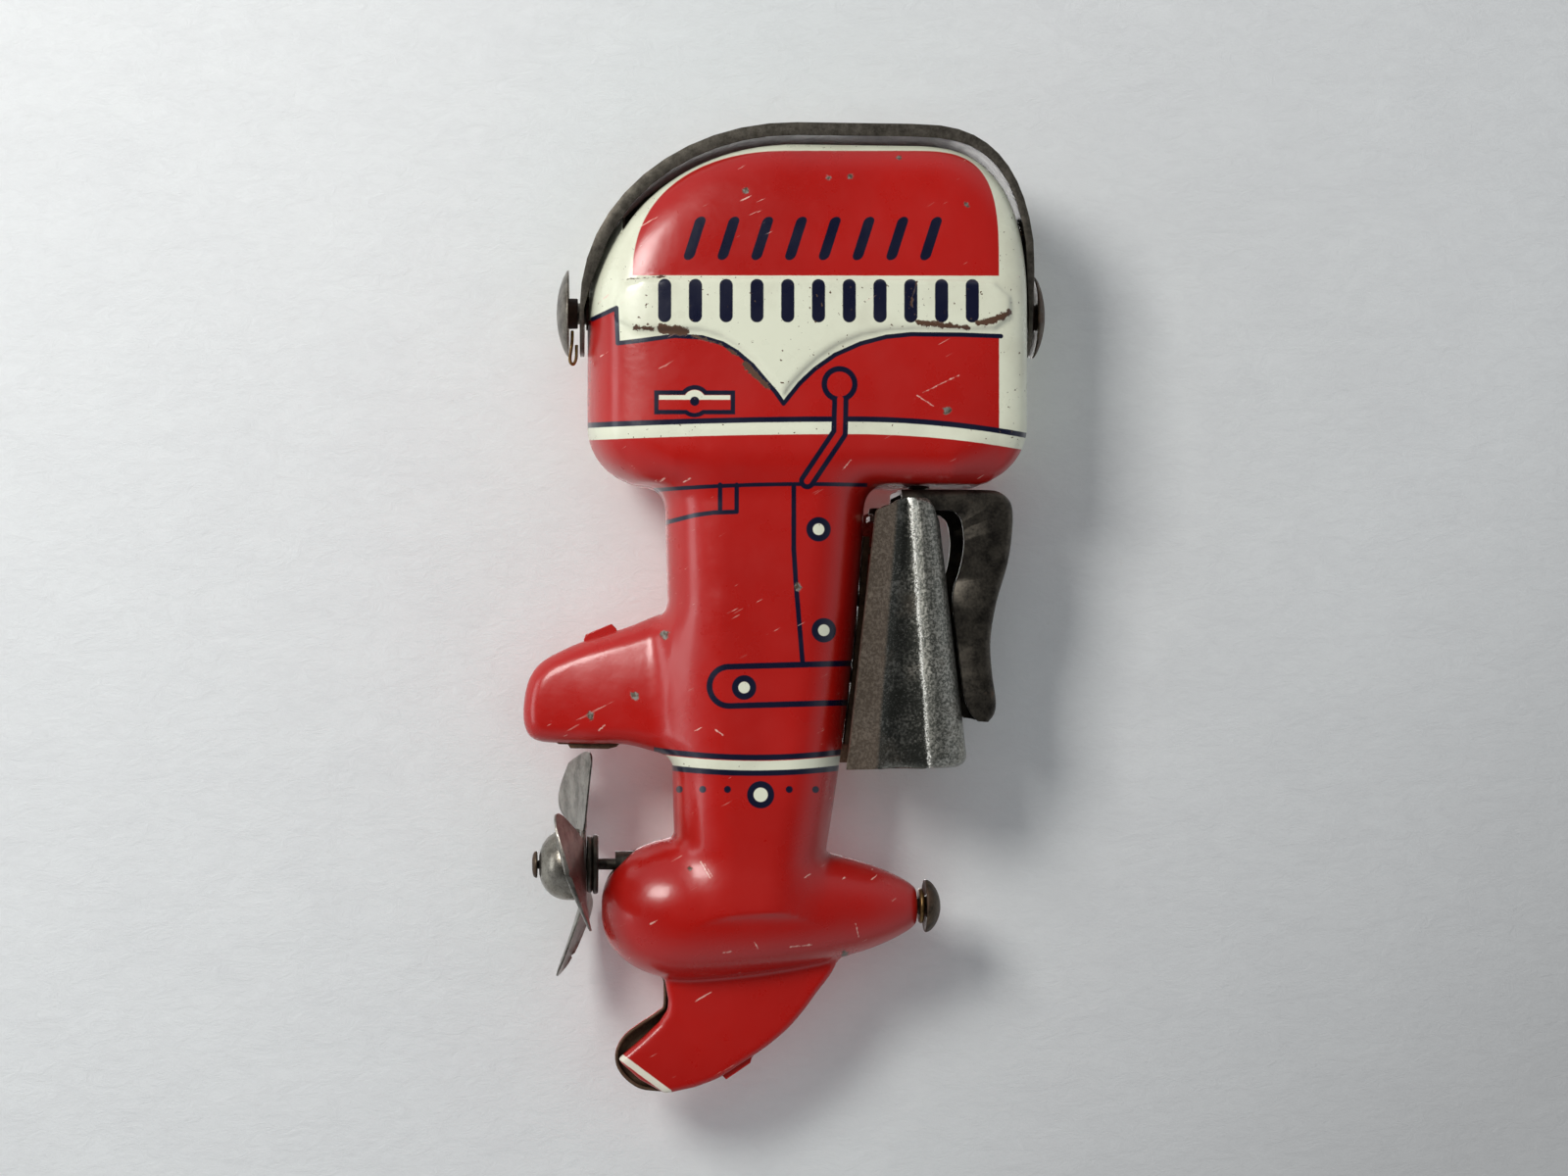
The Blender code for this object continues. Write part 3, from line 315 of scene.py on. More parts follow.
def neck_art(art):
    """Printed lines that run from the head on to the leg."""
    navy = art.path([(-29.6, 3.3), (-29.6, -0.3)], 0.3)
    navy = navy.least(art.path([(-27.4, 3.3), (-27.4, -0.3), (-30.5, -0.4), (-33.0, -0.75),
        (-37.5, -1.9)], 0.3))
    return navy.least(art.path([(-19.8, 3.3), (-19.8, -5.2), (-19.5, -10.0), (-18.6, -20.6)], 0.32))


HEAD_CHIPS = [(-26.2, 42.5, 0.42), (-15.2, 44.2, 0.3), (-12.3, 44.4, 0.32), (-5.8, 47, 0.28),
    (3.3, 40.6, 0.26), (0.6, 13.2, 0.5)]
LEG_CHIPS = [(-19.2, -10.3, 0.5), (-41, -24.7, 0.55), (-46.9, -27.3, 0.5), (-37, -16.6, 0.6),
    (-33.6, -47.6, 0.3), (-13, -58.9, 0.45)]
HEAD_RUST = [([(-40.8, 24.2), (-38.6, 24)], 0.35), ([(-37.4, 24), (-34.2, 23.7)], 0.6),
    ([(-34.2, 23.4), (-29.6, 22), (-27.2, 20.4)], 0.12), ([(-26.4, 19.4), (-23.4, 16.4)], 0.42),
    ([(-3.2, 25), (3.4, 24.2)], 0.32), ([(4.8, 24.8), (7.4, 25.4), (9, 26.3)], 0.42),
    ([(-42.6, 30.6), (-37, 31), (-33.4, 30.3)], 0),
    ([(-3.4, 30.4), (-4.2, 27.6), (-3.4, 25)], 0.05)]
HEAD_NICKS = [((-13.4, 5.2), (-12.2, 6.6)), ((-2.6, 15.6), (2.2, 17.9)), ((-1.2, 13.8), (-3.4, 15.2))]
LEG_NICKS = [((-32.2, -46.6), (-30.9, -48.8)), ((-31.6, -47), (-30.6, -48.6)),
    ((-20.2, -57.9), (-17.4, -57.6)), ((-29.2, -58.7), (-28, -58.5)), ((-25, -57.3), (-24.6, -58.1)),
    ((-11.6, -54.8), (-11.2, -56.6)), ((-38.8, -54.9), (-37.9, -54.4)), ((-30.2, -29.2), (-29.2, -29.9)),
    ((-45.7, -29.3), (-44.9, -28.6))]


def painted_tin(name, on_head):
    g = Graph(name)
    art = Art(g)
    wobble = (g.noise(0.9, 4.0, 0.6) - 0.5) * 0.16
    shade = g.over(g.noise(0.035, 3.0, 0.5), 0.35, 0.7)
    red = g.mix(shade, RED, DEEP_RED)
    mottled = g.over(g.noise(1.4, 5.0, 0.65), 0.4, 0.75)
    red = g.mix(mottled * 0.25, red, (0.40, 0.012, 0.007))
    dirt = g.over(g.noise(0.12, 5.0, 0.6), 0.45, 0.8)
    ivory = g.mix(dirt * 0.55, CREAM, (0.50, 0.47, 0.35))
    if on_head:
        cream, navy, lever_fill = head_art(art)
    else:
        (cream, navy), lever_fill = leg_art(art), None
    navy = navy.least(neck_art(art))
    colour = g.mix((cream + wobble * 0.4).inside(), red, ivory)
    colour = g.mix((navy + wobble * 0.35).inside(), colour, NAVY)
    if lever_fill:
        colour = g.mix((lever_fill + wobble * 0.3).inside(), colour, red)

    # Wear: specks on the cream, chips to bare tin, rust along the raised panel, nicks and fine scratches.
    grain = g.noise(1.9, 2.0, 0.5)
    specks = g.over(grain, 0.705, 0.735) * cream.inside()
    colour = g.mix(specks, colour, BROWN)
    rough_edge = (g.noise(1.5, 5.0, 0.75) - 0.5) * 3.4
    chips = nearest([art.disc(*chip) for chip in (HEAD_CHIPS if on_head else LEG_CHIPS)])
    chip = (chips + rough_edge * 0.45).inside(0.15)
    chip = chip.most(g.over(g.noise(0.55, 6.0, 0.8), 0.735, 0.75))
    colour = g.mix(chip, colour, g.mix(g.over(grain, 0.4, 0.6), BARE, (0.10, 0.07, 0.045)))
    bad = chip
    if on_head:
        torn = (g.noise(0.55, 5.0, 0.7) - 0.5) * 5.5
        rusty = nearest([art.path(points, radius) for points, radius in HEAD_RUST])
        rust = (rusty + rough_edge * 0.34 + torn * 0.2).inside(0.14)
        colour = g.mix(rust, colour, RUST)
        bad = chip.most(rust)

    turned = g.node("Mapping")
    g.put(turned.inputs["Vector"], g.coords)
    turned.inputs["Rotation"].default_value = (0.0, 0.5, 0.0)
    streaks = g.noise(0.42, 3.0, 0.55, where=turned.outputs[0], stretch=(0.35, 1.0, 5.0))
    scratch = g.over(streaks, 0.69, 0.71) * g.over(g.noise(0.11, 2.0, 0.5), 0.48, 0.6)
    nicks = nearest([art.capsule(a, b, 0.04) for a, b in (HEAD_NICKS if on_head else LEG_NICKS)])
    nicks = (nicks + rough_edge * 0.2).inside(0.1)
    colour = g.mix(scratch.most(nicks) * 0.8, colour, (0.80, 0.50, 0.42))
    if not on_head:
        cut = art.capsule((-42.9, -72.3), (-36.4, -77.1), 0.42).most(art.y + 0.4)
        colour = g.mix((cut + rough_edge * 0.05).inside(0.12), colour, (0.76, 0.71, 0.58))
    smudge = g.over(g.noise(0.16, 4.0, 0.6), 0.3, 0.75)
    g.surface({"Base Color": colour, "Roughness": smudge * 0.17 + 0.23 + bad * 0.3 + specks * 0.3,
               "Metallic": chip * 0.6, "Coat Weight": 0.25, "Coat Roughness": 0.14})
    ripple = g.noise(0.09, 2.0, 0.4) + g.noise(0.3, 3.0, 0.5) * 0.34
    g.bump(ripple - bad * 0.12 + grain * 0.012, 0.35, 0.6)
    return g.material


def worn_metal(name, light, dark, rust, rough, metal, scale, rust_colour=RUST, brushed=None, bump=0.03):
    """Plated or bare metal: cloudy plate, darker stains, and rust where `rust` is above zero."""
    g = Graph(name)
    cloud = g.noise(scale, 5.0, 0.62, stretch=brushed)
    fine = g.noise(scale * 6, 3.0, 0.6, stretch=brushed)
    blend = g.over(cloud * 0.7 + fine * 0.3, 0.38, 0.62)
    colour = g.mix(blend, dark, light)
    patches = g.noise(scale * 0.42, 6.0, 0.7)
    rusty = g.over(patches, 0.72 - 0.3 * rust, 0.80 - 0.24 * rust)
    colour = g.mix(rusty * 0.85, colour, rust_colour)
    g.surface({"Base Color": colour, "Roughness": fine * (rough[1] - rough[0]) + rough[0] + rusty * 0.25,
               "Metallic": metal - rusty * (0.75 * metal)})
    g.bump(fine * 0.6 + cloud * 0.4 + rusty * 0.3, bump, 0.8)
    return g.material


def zinc_plate():
    """Zinc-plated sheet: dark where it is dished, frosted specks, brown dirt on the rear strip, a painted
    reflection ahead of the bend and a painted highlight along it.
    """
    g = Graph("zinc_sheet")
    x, _, z = g.split(1000.0)
    cloud = g.noise(0.22, 6.0, 0.65)
    fine = g.noise(2.6, 4.0, 0.7)
    grit = g.noise(5.5, 2.0, 0.5)
    frost = g.over(fine * 0.55 + cloud * 0.45, 0.50, 0.62)
    colour = g.mix(frost, (0.115, 0.118, 0.10), (0.34, 0.335, 0.295))
    colour = g.mix(g.over(grit, 0.60, 0.68) * 0.6, colour, (0.62, 0.61, 0.56))
    strip = (x - (z * 0.078 - 7.0)).inside(0.5)
    brown = strip * 0.75 + g.over(g.noise(0.16, 5.0, 0.6), 0.54, 0.72) * 0.35
    colour = g.mix(g.math("MINIMUM", brown, 0.8), colour, (0.19, 0.135, 0.095))
    colour = g.mix(strip * g.over(fine, 0.45, 0.6) * 0.6, colour, (0.36, 0.29, 0.22))
    # Painted reflection: ahead of this line along the bend the sheet is painted lighter, standing in for the
    # bright paper it would mirror.
    edge = x - (z * -0.0677 - 5.14)
    bend = (0.0 - edge).inside(0.4)
    colour = g.mix(bend * g.over(fine, 0.44, 0.6) * 0.7, colour, (0.50, 0.49, 0.43))
    # Painted highlight: a broken bright line along the bend, standing in for the glint of the key light.
    painted_bend_highlight = (abs(edge + (cloud - 0.5) * 0.5) - 0.2 + (fine - 0.5) * 1.6).inside(0.2)
    painted_bend_highlight = painted_bend_highlight * g.over(grit, 0.42, 0.5)
    colour = g.mix(painted_bend_highlight, colour, (0.88, 0.87, 0.80))
    g.surface({"Base Color": colour,
               "Roughness": fine * 0.16 + frost * 0.1 + brown * 0.12 + bend * 0.08 + 0.16,
               "Metallic": 0.95 - brown * 0.35 - painted_bend_highlight * 0.55 - bend * 0.25})
    g.bump(fine * 0.5 + grit * 0.35 + cloud * 0.8, 0.06, 0.7)
    return g.material


def plain_finish(name, colour, second, rough, metal, scale, bump, coat=0.0):
    g = Graph(name)
    cloud = g.noise(scale, 5.0, 0.6)
    fine = g.noise(scale * 5, 2.0, 0.5)
    g.surface({"Base Color": g.mix(g.over(cloud, 0.35, 0.68), colour, second),
               "Roughness": fine * 0.2 + rough, "Metallic": metal, "Coat Weight": coat})
    g.bump(fine * 0.5 + cloud * 0.5, bump, 0.7)
    return g.material


# Metals: light and dark colour, rust, range of roughness, metallic, noise scale.
METALS = {
    "inner_tin": ("inner_tin", (0.16, 0.1, 0.06), (0.06, 0.033, 0.018), 0.75, (0.45, 0.7), 0.55, 0.5),
    "strap": ("strap_steel", (0.145, 0.13, 0.105), (0.055, 0.048, 0.038), 0.28, (0.34, 0.6), 0.75, 0.7,
              (0.1, 0.055, 0.03)),
    "dark": ("dark_steel", (0.1, 0.088, 0.07), (0.026, 0.023, 0.019), 0.4, (0.3, 0.5), 0.85, 0.45),
    "cap": ("cap_steel", (0.27, 0.245, 0.205), (0.075, 0.062, 0.048), 0.42, (0.25, 0.45), 0.85, 0.6),
    "rivet": ("rivet_steel", (0.11, 0.078, 0.05), (0.028, 0.02, 0.014), 0.8, (0.34, 0.6), 0.7, 0.7,
              (0.07, 0.034, 0.017)),
    "pewter": ("pewter_plate", (0.37, 0.35, 0.31), (0.13, 0.12, 0.1), 0.34, (0.2, 0.42), 0.92, 0.4,
               (0.13, 0.085, 0.06)),
    "dome": ("dome_plate", (0.33, 0.31, 0.265), (0.15, 0.135, 0.11), 0.12, (0.22, 0.36), 0.92, 0.5),
    "brass": ("tarnished_brass", (0.34, 0.21, 0.075), (0.12, 0.07, 0.03), 0.3, (0.3, 0.5), 0.85, 0.7),
    "copper": ("enamelled_copper", (0.5, 0.18, 0.07), (0.22, 0.07, 0.03), 0.0, (0.25, 0.4), 0.85, 0.5,
               RUST, (1.0, 1.0, 14.0), 0.12)}

# The rest: two colours, roughness, metallic, noise scale, bump, coat.
PLAIN = {
    "fibre": ("vulcanised_fibre", (0.06, 0.028, 0.015), (0.028, 0.014, 0.009), 0.6, 0.0, 1.2, 0.05),
    "magnet": ("ground_magnet", (0.045, 0.045, 0.05), (0.02, 0.02, 0.022), 0.55, 0.2, 1.5, 0.03),
    "carbon": ("carbon_block", (0.022, 0.022, 0.022), (0.012, 0.012, 0.012), 0.6, 0.0, 2.0, 0.03),
    "cell": ("cell_card", (0.1, 0.17, 0.3), (0.07, 0.12, 0.22), 0.35, 0.0, 0.4, 0.02, 0.3),
    "wire": ("waxed_cotton", (0.32, 0.25, 0.1), (0.2, 0.15, 0.06), 0.6, 0.0, 3.0, 0.08),
    "nylon": ("moulded_gear", (0.62, 0.58, 0.45), (0.5, 0.45, 0.33), 0.4, 0.0, 1.0, 0.02)}

FINISH = {"tin": painted_tin("lithographed_head", True), "leg_tin": painted_tin("lithographed_leg", False),
          "zinc": zinc_plate(), **{key: worn_metal(*row) for key, row in METALS.items()},
          **{key: plain_finish(*row) for key, row in PLAIN.items()}}


# ---- meshes
def smooth_min(a, b, k):
    near = np.maximum(k - np.abs(a - b), 0.0) / k
    return np.minimum(a, b) - near * near * k / 4


def round_max(a, b, r):
    return np.minimum(np.maximum(a, b), -r) + np.hypot(np.maximum(a + r, 0.0), np.maximum(b + r, 0.0))


def spline(points, steps, closed=False):
    """Catmull-Rom points through a line in the plane or in space."""
    p = [np.array(q, float) for q in points]
    p = [p[-1], *p, p[0], p[1]] if closed else [2 * p[0] - p[1], *p, 2 * p[-1] - p[-2]]
    made = []
    for i in range(1, len(p) - 2):
        a, b, c, d = p[i - 1:i + 3]
        for k in range(steps):
            t = k / steps
            made.append(0.5 * (2 * b + (c - a) * t + (2 * a - 5 * b + 4 * c - d) * t * t
                + (3 * b - a - 3 * c + d) * t ** 3))
    if not closed:
        made.append(p[-2])
    return [tuple(q) for q in made]


class Outline:
    """Signed distance to a closed outline, negative inside, read from a table."""

    def __init__(self, points, step=0.2, margin=7.0):
        pts = np.array(points, float)
        self.step, self.low = step, pts.min(0) - margin
        self.count = np.ceil((pts.max(0) + margin - self.low) / step).astype(int) + 1
        u = self.low[0] + step * np.arange(self.count[0])[:, None]
        v = self.low[1] + step * np.arange(self.count[1])[None, :]
        best, inside = np.full((len(u), v.shape[1]), 1e9), np.zeros((len(u), v.shape[1]), bool)
        for a, b in zip(pts, np.roll(pts, -1, 0)):
            e = b - a
            if not e.any():
                continue
            t = np.clip(((u - a[0]) * e[0] + (v - a[1]) * e[1]) / (e @ e), 0, 1)
            best = np.minimum(best, np.hypot(u - a[0] - t * e[0], v - a[1] - t * e[1]))
            if e[1]:
                inside ^= ((a[1] > v) != (b[1] > v)) & (u < e[0] * (v - a[1]) / e[1] + a[0])
        self.table = np.where(inside, -best, best)

    def __call__(self, u, v):
        u, v = np.broadcast_arrays(u, v)
        i = np.clip((u - self.low[0]) / self.step, 0, self.count[0] - 1.001)
        j = np.clip((v - self.low[1]) / self.step, 0, self.count[1] - 1.001)
        a, b = i.astype(int), j.astype(int)
        s, t, f = i - a, j - b, self.table
        near, far = f[a, b] * (1 - t) + f[a, b + 1] * t, f[a + 1, b] * (1 - t) + f[a + 1, b + 1] * t
        return near * (1 - s) + far * s


def head_gauge(x, y, z):
    """Head above its floor: a top turned about the pivot axis, squared off by flat sides."""
    q = np.hypot(y, np.maximum(z - PIVOT_Z, 0.0)) / HEAD_RISE
    a = np.maximum(HEAD_AFT[0] - x, 0.0) / HEAD_AFT[1]
    b = np.maximum(x - HEAD_FORE[0], 0.0) / HEAD_FORE[1]
    p = HEAD_FORE_POWER
    e = np.where(x < -12, np.hypot(a, q), (b ** p + q ** p) ** (1 / p))
    return (e ** 8 + (np.abs(y) / HEAD_HALF) ** 8) ** 0.125 - 1


def slopes(f, x, y, z, h):
    """How steeply f rises along x, y and z."""
    return [(f(x + h * i, y + h * j, z + h * k) - f(x - h * i, y - h * j, z - h * k)) / (2 * h)
            for i, j, k in ((1, 0, 0), (0, 1, 0), (0, 0, 1))]


def true_distance(gauge, x, y, z, h=0.05):
    return gauge(x, y, z) / np.maximum(np.sqrt(sum(s ** 2 for s in slopes(gauge, x, y, z, h))), 0.02)


def leg_distance(x, y, z):
    front = -10.8 + 0.05 * z - 0.0013 * z * z
    back = -36.8 - 0.0273 * z
    depth = np.clip(-z / 44.5, 0, 1)
    half, corner = 10.5 - 1.5 * depth, 7.6
    u = np.abs(x - (front + back) / 2) - (front - back) / 2 + corner
    v = np.abs(y) - half + corner
    flat = np.minimum(np.maximum(u, v), 0) + np.hypot(np.maximum(u, 0), np.maximum(v, 0)) - corner
    return np.maximum(np.maximum(flat, z - 8), -52 - z)


TORPEDO = [(-45.2, 0), (-45.15, 1.4), (-44.7, 3.3), (-43.6, 5.3), (-41.4, 7.3), (-38.5, 8.65),
    (-35, 9.35), (-30.8, 9.25), (-24, 8.6), (-17, 7.5), (-11.5, 6.1), (-8, 4.9), (-5.2, 3.55),
    (-3.9, 2.65), (-3.6, 2.2), (-3.6, 0)]
FIN = [(-26, -11), (-35.5, -13.4), (-38.2, -14.1), (-41.6, -15.5), (-47.2, -17.3), (-50.5, -18.7),
    (-53.2, -20.3), (-54.7, -22.4), (-55.35, -25.2), (-55.4, -28), (-54.6, -29.9), (-52.6, -30.7),
    (-47.5, -30.9), (-41.9, -31), (-36, -32.4), (-26, -33.5)]
SKEG_KEEL = [(-32.8, -76), (-29.7, -74.8), (-27, -73.1), (-24.5, -71.5), (-22.7, -70.2),
    (-20.5, -68.3), (-18.5, -66), (-16.8, -63.7), (-14.9, -61.2), (-14, -59), (-13.9, -56)]
SKEG_PORT = [(-37.2, -57), (-37, -64.8), (-37.6, -66.1), (-40, -67.7), (-42.2, -69.4),
    (-43.3, -71.4), (-43.2, -73.3), (-42.1, -75), (-40.3, -76.3), (-38.3, -76.7), (-36.4, -76.7)]
SKEG_NEAR = [(-37, -57), (-36.8, -62.4), (-36.4, -64.6), (-36.5, -65.9), (-37.6, -67.5),
    (-39.9, -69.7), (-42.9, -72.2), (-42.6, -72.7), (-40.2, -74.9), (-36.9, -76.75), (-36.2, -76.7)]
EMBOSS = [(-40, 30.6), (-42.4, 29.9), (-43.6, 27.6), (-42.9, 25.1), (-40.6, 23.8), (-36, 23.9),
    (-32.3, 23.9), (-29.4, 23.1), (-27.2, 21.7), (-25.2, 20), (-23.5, 18), (-22.2, 16.5),
    (-21.2, 15.3), (-20.4, 16.5), (-18.6, 18.5), (-16.5, 20.4), (-14, 22.1), (-10.8, 23.4),
    (-7.2, 24.1), (-3, 24.3), (3, 24.2), (7.2, 24.4), (9.3, 26), (9.3, 28.6), (7, 30.4),
    (2, 30.7), (-20, 30.8)]

torpedo_table = Outline(spline(TORPEDO[1:-1], 6) + [(-3.6, -12.0), (-45.2, -12.0)])
fin_table = Outline(spline(FIN, 5, closed=True))
# The raised panel's outline is drawn like the print, on the plane y = 0, and lies PANEL_NEAR nearer.
grow = VIEW_REACH / (VIEW_REACH - PANEL_NEAR)
raised_panel = [((x - VIEW_MIDDLE[0]) / grow - 0.85 + VIEW_MIDDLE[0],
                 (z - VIEW_MIDDLE[1]) / grow - 0.2 + VIEW_MIDDLE[1]) for x, z in EMBOSS]
emboss_table = Outline(raised_panel, 0.15, 3.0)
skeg_tables = {-1: Outline(SKEG_NEAR + spline(SKEG_KEEL, 4)), 1: Outline(spline(SKEG_PORT + SKEG_KEEL, 5))}


def body_distance(x, y, z, side):
    """Signed distance to the outside of the whole pressed body, negative inside."""
    ends = np.clip(np.maximum(-36.0 - x, x - 0.0) / 6.0, 0, 1)
    head = round_max(true_distance(head_gauge, x, y, z), HEAD_FLOOR - z, 4.6 + 3.2 * ends)
    body = smooth_min(head, leg_distance(x, y, z), 3.4)
    thick = 7.0 - 0.17 * np.clip(-30.0 - x, 0, 26)
    bevel = 3.0 - 0.03 * np.clip(-30.0 - x, 0, 26)
    thick = thick - 0.015 * (z + 25.8) ** 2 * np.clip((-30.0 - x) / 9.0, 0, 1)
    fin = round_max(fin_table(x, z), np.abs(y) - np.maximum(thick, 2.0), bevel)
    side_on = np.clip((np.abs(y) - 1.5) / 5.0, 0, 1)
    body = smooth_min(body, fin, 1.3 + 3.1 * side_on)
    torpedo = torpedo_table(x, np.hypot(y, z - TORPEDO_Z))
    body = smooth_min(body, torpedo, 0.9 + 1.5 * side_on)
    skeg = round_max(skeg_tables[side](x, z), np.abs(y) - 1.95, 0.75)
    body = smooth_min(body, skeg, 0.8)
    raised = np.clip(0.5 - emboss_table(x, z) / 0.7, 0, 1)
    raised = raised * raised * (3 - 2 * raised)
    return body - 0.58 * raised * np.clip((np.abs(y) - 8.0) / 2.0, 0, 1)


def holes_distance(x, y, z):
    """Signed distance to the holes through the skin, negative inside a hole."""
    slot = np.maximum(np.maximum(np.abs(x + 16.65) - 25.85, np.abs(y) - 7.75), 34.0 - z)
    best = slot
    for height, radius, end in ((SHAFT_Z, SHAFT_HOLE, x + 38.5), (PIVOT_Z, PIVOT_HOLE, x + 44.0),
                                (PIVOT_Z, PIVOT_HOLE, 9.0 - x), (TORPEDO_Z, NOSE_HOLE, -5.0 - x)):
        best = np.minimum(best, np.maximum(np.hypot(y, z - height) - radius, end))
    return best


def cut_body(x, y, z, side):
    return np.maximum(body_distance(x, y, z, side), -holes_distance(x, y, z))


def surface_net(values, low, step):
    """Quads round the zero level of a grid of signed distances."""
    neg = values < 0
    shape = np.array(values.shape)
    corner = [(i, j, k) for i in (0, 1) for j in (0, 1) for k in (0, 1)]
    part = lambda f, c: f[c[0]:shape[0] - 1 + c[0], c[1]:shape[1] - 1 + c[1], c[2]:shape[2] - 1 + c[2]]
    total = sum(part(neg, c).astype(np.int8) for c in corner)
    cells = np.argwhere((total > 0) & (total < 8))
    at = {c: values[tuple((cells + c).T)] for c in corner}
    place, hits = np.zeros((len(cells), 3)), np.zeros(len(cells))
    for a in corner:
        for axis in range(3):
            if a[axis]:
                continue
            b = tuple(v + (n == axis) for n, v in enumerate(a))
            cross = (at[a] < 0) != (at[b] < 0)
            t = at[a][cross] / (at[a][cross] - at[b][cross])
            point = np.tile(np.array(a, float), (len(t), 1))
            point[:, axis] += t
            place[cross] += point
            hits[cross] += 1
    points = np.array(low) + (cells + place / hits[:, None]) * step
    index = np.full(shape - 1, -1)
    index[tuple(cells.T)] = np.arange(len(cells))
    quads = []
    for axis in range(3):
        u, v = (axis + 1) % 3, (axis + 2) % 3
        here = [slice(None)] * 3
        there = [slice(None)] * 3
        here[axis], there[axis] = slice(0, -1), slice(1, None)
        edges = np.argwhere(neg[tuple(here)] != neg[tuple(there)])
        edges = edges[(edges[:, [u, v]] > 0).all(1) & (edges[:, [u, v]] < shape[[u, v]] - 1).all(1)]
        starts_inside = neg[tuple(edges.T)]
        ring = []
        for du, dv in ((0, 0), (1, 0), (1, 1), (0, 1)):
            cell = edges.copy()
            cell[:, u] -= du
            cell[:, v] -= dv
            ring.append(index[tuple(cell.T)])
        quad = np.stack(ring, 1)
        quad[~starts_inside] = quad[~starts_inside][:, ::-1]
        quads.append(quad)
    return points, np.concatenate(quads)


def pull_to_surface(points, distance, rounds=3, h=0.04):
    for _ in range(rounds):
        x, y, z = points.T
        f = distance(x, y, z)
        slope = np.stack(slopes(distance, x, y, z, h), 1)
        size = np.maximum((slope ** 2).sum(1), 0.05)
        move = -(f / size)[:, None] * slope
        reach = np.linalg.norm(move, axis=1, keepdims=True)
        points = points + move * np.minimum(1, 0.25 / np.maximum(reach, 1e-9))
    return points


def link(name, data):
    item = bpy.data.objects.new(name, data)
    bpy.context.scene.collection.objects.link(item)
    return item


def place(name, mesh, body, material, slot=None, replaces=()):
    """Link a mesh as a piece of the object that rides on a body."""
    item = link(name, mesh)
    for one in material if isinstance(material, (list, tuple)) else [material]:
        mesh.materials.append(FINISH[one] if isinstance(one, str) else one)
    if body:
        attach(item, body)
    if replaces:
        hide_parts(*replaces)
    return item


def to_mesh(name, points, faces, smooth_angle=40):
    mesh = bpy.data.meshes.new(name)
    mesh.from_pydata([tuple((float(c) * MM for c in p)) for p in points], [],
        [tuple(map(int, f)) for f in faces])
    mesh.validate()
    made = bmesh.new()
    made.from_mesh(mesh)
    bmesh.ops.recalc_face_normals(made, faces=made.faces)
    made.to_mesh(mesh)
    made.free()
    mesh.shade_smooth()
    mesh.set_sharp_from_angle(angle=math.radians(smooth_angle))
    return mesh


def shell_skin(name, side, node):
    """Thin pressed half of the body, cut at the seam."""
    step, low = SKIN_STEP, GRID_LOW
    axes = [start + step * np.arange(int(span / step)) for start, span in zip(low, GRID_SPAN)]
    x, y, z = axes[0][:, None, None], axes[1][None, :, None], axes[2][None, None, :]
    points, quads = surface_net(np.broadcast_to(cut_body(x, y, z, side), [len(a) for a in axes]), low, step)
    points = pull_to_surface(points, lambda a, b, c: cut_body(a, b, c, side))
    middle = points[quads].mean(1)
    outside = body_distance(*middle.T, side) > -0.2
    quads = quads[outside]
    edges = np.sort(np.concatenate([quads[:, [i, (i + 1) % 4]] for i in range(4)]), axis=1)
    pairs, uses = np.unique(edges, axis=0, return_counts=True)
    rim = np.unique(pairs[uses == 1])
    rim = rim[np.abs(holes_distance(*points[rim].T)) < 0.9]
    for _ in range(4):
        points[rim] = pull_to_surface(points[rim], holes_distance, 2)
        points[rim] = pull_to_surface(points[rim], lambda a, b, c: body_distance(a, b, c, side), 2)
    if side < 0:
        points = points * (1, -1, 1)
        quads = quads[:, ::-1]
    mesh = bpy.data.meshes.new(name)
    mesh.from_pydata((points * MM).tolist(), [], quads.tolist())
    made = bmesh.new()
    made.from_mesh(mesh)
    bmesh.ops.bisect_plane(made, geom=made.verts[:] + made.edges[:] + made.faces[:],
        plane_co=(0, side * SEAM * MM, 0), plane_no=(0, -side, 0), clear_outer=True)
    bmesh.ops.remove_doubles(made, verts=made.verts, dist=0.00005)
    loose = [v for v in made.verts if not v.link_faces]
    bmesh.ops.delete(made, geom=loose, context="VERTS")
    made.to_mesh(mesh)
    made.free()
    mesh.shade_smooth()
    finishes = ["tin", "leg_tin", "inner_tin", "inner_tin"]
    item = place(name, mesh, "motor_unit", finishes, "painted_tin", [node])
    for face in mesh.polygons:
        face.material_index = int(face.center.z < LEG_PRINT_TOP * MM)
    sheet = item.modifiers.new("sheet", "SOLIDIFY")
    sheet.thickness = SHEET * MM
    sheet.offset = -1.0
    sheet.material_offset = 2
    sheet.material_offset_rim = 2
    return item


def loft(rings, caps=True):
    count = len(rings[0])
    points = [p for ring in rings for p in ring]
    faces = []
    for r in range(len(rings) - 1):
        for k in range(count):
            a, b = r * count + k, r * count + (k + 1) % count
            c, d = a + count, b + count
            faces.append((a, b, d, c))
    if caps:
        last = (len(rings) - 1) * count
        faces += [tuple(range(count)), tuple(range(last, last + count))]
    return points, faces


def soften(profile, rounds):
    """Corner cutting on an open line; its ends stay."""
    held = {tuple(profile[0]), tuple(profile[-1])}
    line = [tuple(p) for p in profile]
    for _ in range(rounds):
        made = []
        for i, p in enumerate(line):
            if p in held:
                made.append(p)
                continue
            before, after = line[i - 1], line[i + 1]
            made.append(tuple(0.75 * a + 0.25 * b for a, b in zip(p, before)))
            made.append(tuple(0.75 * a + 0.25 * b for a, b in zip(p, after)))
        line = made
    return line


